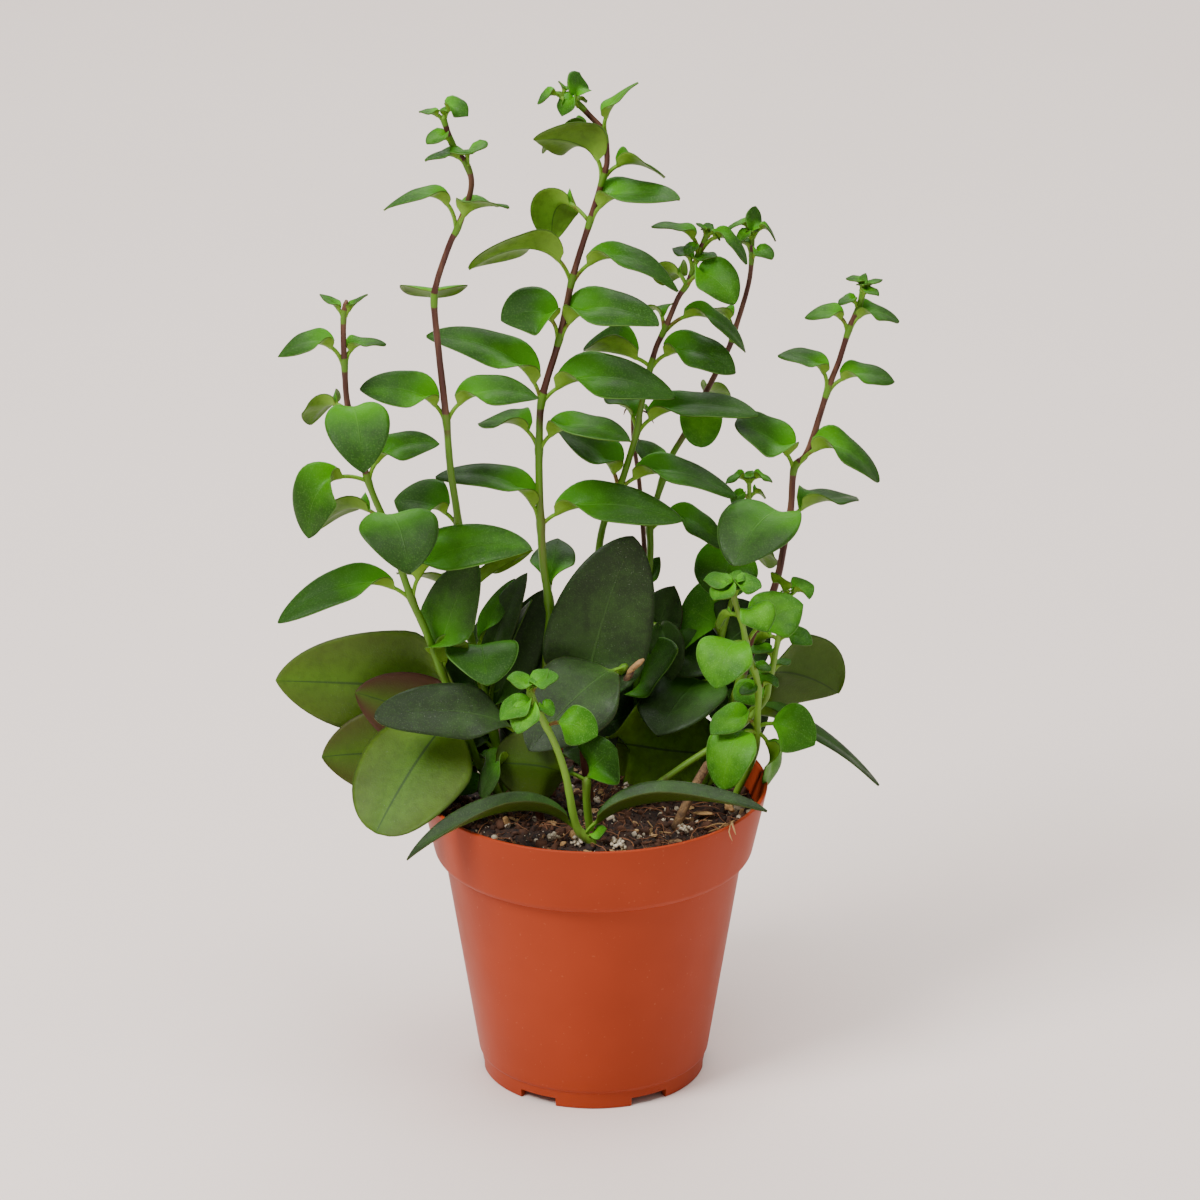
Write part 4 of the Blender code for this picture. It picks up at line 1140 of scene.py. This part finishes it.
class Grains:
    """Small loose solids, gathered into one piece. A tone goes from dark, 0, to light, 1."""

    def __init__(self, seed):
        self.draw = random.Random(seed)
        self.points = []
        self.faces = []
        self.looks = []

    def spot(self, raised):
        """A random place, raised above the soil."""
        radius = (SOIL_EDGE_RADIUS - 1.5) * math.sqrt(self.draw.random())
        angle = self.draw.uniform(0, FULL_TURN)
        right, back = radius * math.cos(angle), radius * math.sin(angle)
        return on_soil(right, back, raised)

    def turn(self):
        axis = Vector([self.draw.gauss(0, 1) for _ in range(3)]).normalized()
        return Matrix.Rotation(self.draw.uniform(0, FULL_TURN), 3, axis)

    def add(self, points, faces, tone):
        first = len(self.points)
        self.points += [point * MM for point in points]
        self.faces += [tuple(first + corner for corner in face) for face in faces]
        self.looks += [(tone, tone, tone, 1)] * len(points)

    def lump(self, template, centre, size, roughness, tone):
        """A ball with each point moved in or out by noise."""
        points, faces = template
        turned_by = self.turn()
        shift = Vector([self.draw.uniform(0, 90) for _ in range(3)])
        moved = []
        for point in points:
            far = 1 + roughness * noise.noise(point * 1.7 + shift)
            stretched = Vector([point[i] * size[i] for i in range(3)])
            moved.append(centre + turned_by @ stretched * far)
        self.add(moved, faces, tone)

    def build(self, name, finish, smooth=True):
        material = make_grain_finish(finish)
        thing = new_piece(name, self.points, self.faces, self.looks, (material,), smooth)
        place(thing, "soil_mix")


def ball(divisions):
    """Points and faces of a ball of radius 1."""
    shape = bmesh.new()
    bmesh.ops.create_icosphere(shape, subdivisions=divisions, radius=1.0)
    points = [point.co.copy() for point in shape.verts]
    faces = [tuple(corner.index for corner in face.verts) for face in shape.faces]
    shape.free()
    return points, faces


def thread(path, radius, sides):
    """Points and faces of a thin tube along a path."""
    points = []
    faces = []
    for index, (centre, side, other) in enumerate(across_path(path, (0.2, 0.3, 1))):
        taper = 0.4 if index in (0, len(path) - 1) else 1.0
        for angle in circle(sides):
            outward = side * math.cos(angle) + other * math.sin(angle)
            points.append(centre + outward * radius * taper)
    for first in range(0, len(points) - sides, sides):
        after = first + sides
        faces += quads(range(first, after), range(after, after + sides))
    faces.append(tuple(range(sides))[::-1])
    faces.append(tuple(range(len(points) - sides, len(points))))
    return points, faces


def make_crumbs(rough_ball):
    crumbs = Grains(11)
    least, spread = CRUMB_SIZES
    for _ in range(CRUMB_COUNT):
        size = least + crumbs.draw.random() ** 3 * spread
        sizes = [size * crumbs.draw.uniform(0.6, 1.3) for _ in range(3)]
        crumbs.lump(rough_ball, crumbs.spot(0.1), sizes, 0.6, crumbs.draw.random())
    crumbs.build("peat_crumbs", "peat_crumb")


def make_perlite(rough_ball, fine_ball):
    perlite = Grains(12)
    draw = perlite.draw
    least, spread = PERLITE_SIZES
    for _ in range(PERLITE_COUNT):
        size = least + draw.random() ** 8 * spread
        sizes = [size * draw.uniform(0.8, 1.15) for _ in range(3)]
        perlite.lump(rough_ball, perlite.spot(size * 0.3), sizes, 0.45, draw.random())
    for right, back, size in PERLITE_GRAINS:
        centre = on_soil(right, back, size * 0.4)
        perlite.lump(fine_ball, centre, (size, size * 0.8, size), 0.4, draw.random())
    for heap_right, heap_back in PERLITE_HEAPS:
        for _ in range(HEAP_COUNT):
            right = heap_right + draw.gauss(0, HEAP_SPREAD)
            back = heap_back + draw.gauss(0, HEAP_SPREAD)
            size = draw.uniform(0.3, 0.65)
            centre = on_soil(right, back, size * draw.uniform(0.5, 4))
            perlite.lump(rough_ball, centre, (size, size, size), 0.3, draw.random())
    perlite.build("perlite_grains", "perlite")


def add_chip(chips):
    """A thin flake of bark with a ragged outline, most often lying nearly flat."""
    length = chips.draw.uniform(1.6, 5.0)
    width = length * chips.draw.uniform(0.3, 0.6)
    thick = chips.draw.uniform(0.2, 0.5)
    outline = []
    for angle in circle(CHIP_CORNERS):
        far = chips.draw.uniform(0.75, 1.1)
        corner = Vector((math.cos(angle) * length * far, math.sin(angle) * width * far, 0))
        outline.append(corner / 2)
    turned_by = chips.turn() if chips.draw.random() < 0.3 else (
        Matrix.Rotation(chips.draw.uniform(0, 6.3), 3, "Z")
        @ Matrix.Rotation(chips.draw.gauss(0, 0.35), 3, "X"))
    centre = chips.spot(0.4)
    top = [point * 0.9 + UP * thick / 2 for point in outline]
    rim = [point + UP * thick * 0.2 * chips.draw.uniform(-1, 1) for point in outline]
    low = [point * 0.9 - UP * thick / 2 for point in outline]
    faces = [tuple(range(CHIP_CORNERS)),
             tuple(range(3 * CHIP_CORNERS - 1, 2 * CHIP_CORNERS - 1, -1))]
    for first in (0, CHIP_CORNERS):
        after = first + CHIP_CORNERS
        for i in range(CHIP_CORNERS):
            j = (i + 1) % CHIP_CORNERS
            faces.append((first + j, first + i, after + i, after + j))
    points = [centre + turned_by @ point for point in top + rim + low]
    chips.add(points, faces, chips.draw.random())


def make_chips():
    chips = Grains(13)
    for _ in range(CHIP_COUNT):
        add_chip(chips)
    chips.build("bark_chips", "bark_chip", smooth=False)


def make_fibres():
    fibres = Grains(14)
    draw = fibres.draw
    for _ in range(FIBRE_COUNT):
        spot = fibres.spot(0.5)
        heading = draw.uniform(0, FULL_TURN)
        length = draw.uniform(4, 16)
        bend = draw.gauss(0, 0.16)
        radius = draw.uniform(0.07, 0.17)
        arch = draw.uniform(0.0, 2.2)
        path = []
        for step in range(FIBRE_STEPS + 1):
            heading += bend + draw.gauss(0, 0.12)
            spot = spot + heading_at(heading) * length / FIBRE_STEPS
            if math.hypot(spot.x, spot.y) > SOIL_EDGE_RADIUS - 1.0:
                break
            lift = arch * math.sin(math.pi * step / FIBRE_STEPS)
            path.append(on_soil(spot.x, spot.y, FIBRE_CLEARANCE + lift))
        if len(path) > 3:
            fibres.add(*thread(path, radius, 5), draw.random())
    fibres.build("peat_fibres", "peat_fibre")


def make_litter(fine_ball):
    litter = Grains(15)
    for path, radius, tone in LITTER:
        litter.add(*thread(smooth_route(path, LITTER_SPACING), radius, LITTER_SIDES), tone)
    for centre, sizes, tone in FLAKES:
        litter.lump(fine_ball, Vector(centre), sizes, 0.5, tone)
    litter.build("litter", "litter_skin")


def make_grains():
    rough_ball, fine_ball = ball(2), ball(3)
    make_crumbs(rough_ball)
    make_perlite(rough_ball, fine_ball)
    make_chips()
    make_fibres()
    make_litter(fine_ball)


# --- stage ---

def make_camera():
    data = bpy.data.cameras.new("camera")
    data.lens = CAMERA_LENS
    data.sensor_width = 36.0
    data.clip_start = 0.05
    camera = new_object("camera", data)
    camera.location = Vector(CAMERA_PLACE) * MM
    camera.rotation_euler = (math.radians(90 - CAMERA_TILT), 0, 0)
    bpy.context.scene.camera = camera


def area_light(name, location, size, power, target):
    data = bpy.data.lights.new(name, "AREA")
    data.size = size
    data.energy = power
    light = new_object(name, data)
    light.location = location
    light.rotation_euler = (Vector(target) - Vector(location)).to_track_quat("-Z", "Y").to_euler()


def make_stage():
    bpy.ops.mesh.primitive_plane_add(size=FLOOR_SIZE)
    floor = bpy.context.object
    floor.name = "floor"
    floor.data.materials.append(make_floor_paint())
    world = bpy.data.worlds.new("studio")
    world.use_nodes = True
    background = world.node_tree.nodes["Background"]
    background.inputs["Color"].default_value = WORLD_COLOUR
    background.inputs["Strength"].default_value = WORLD_STRENGTH
    bpy.context.scene.world = world
    for light in LIGHTS:
        area_light(*light)


make_camera()
make_stage()
make_pot()
make_soil()
make_grains()
make_plant()
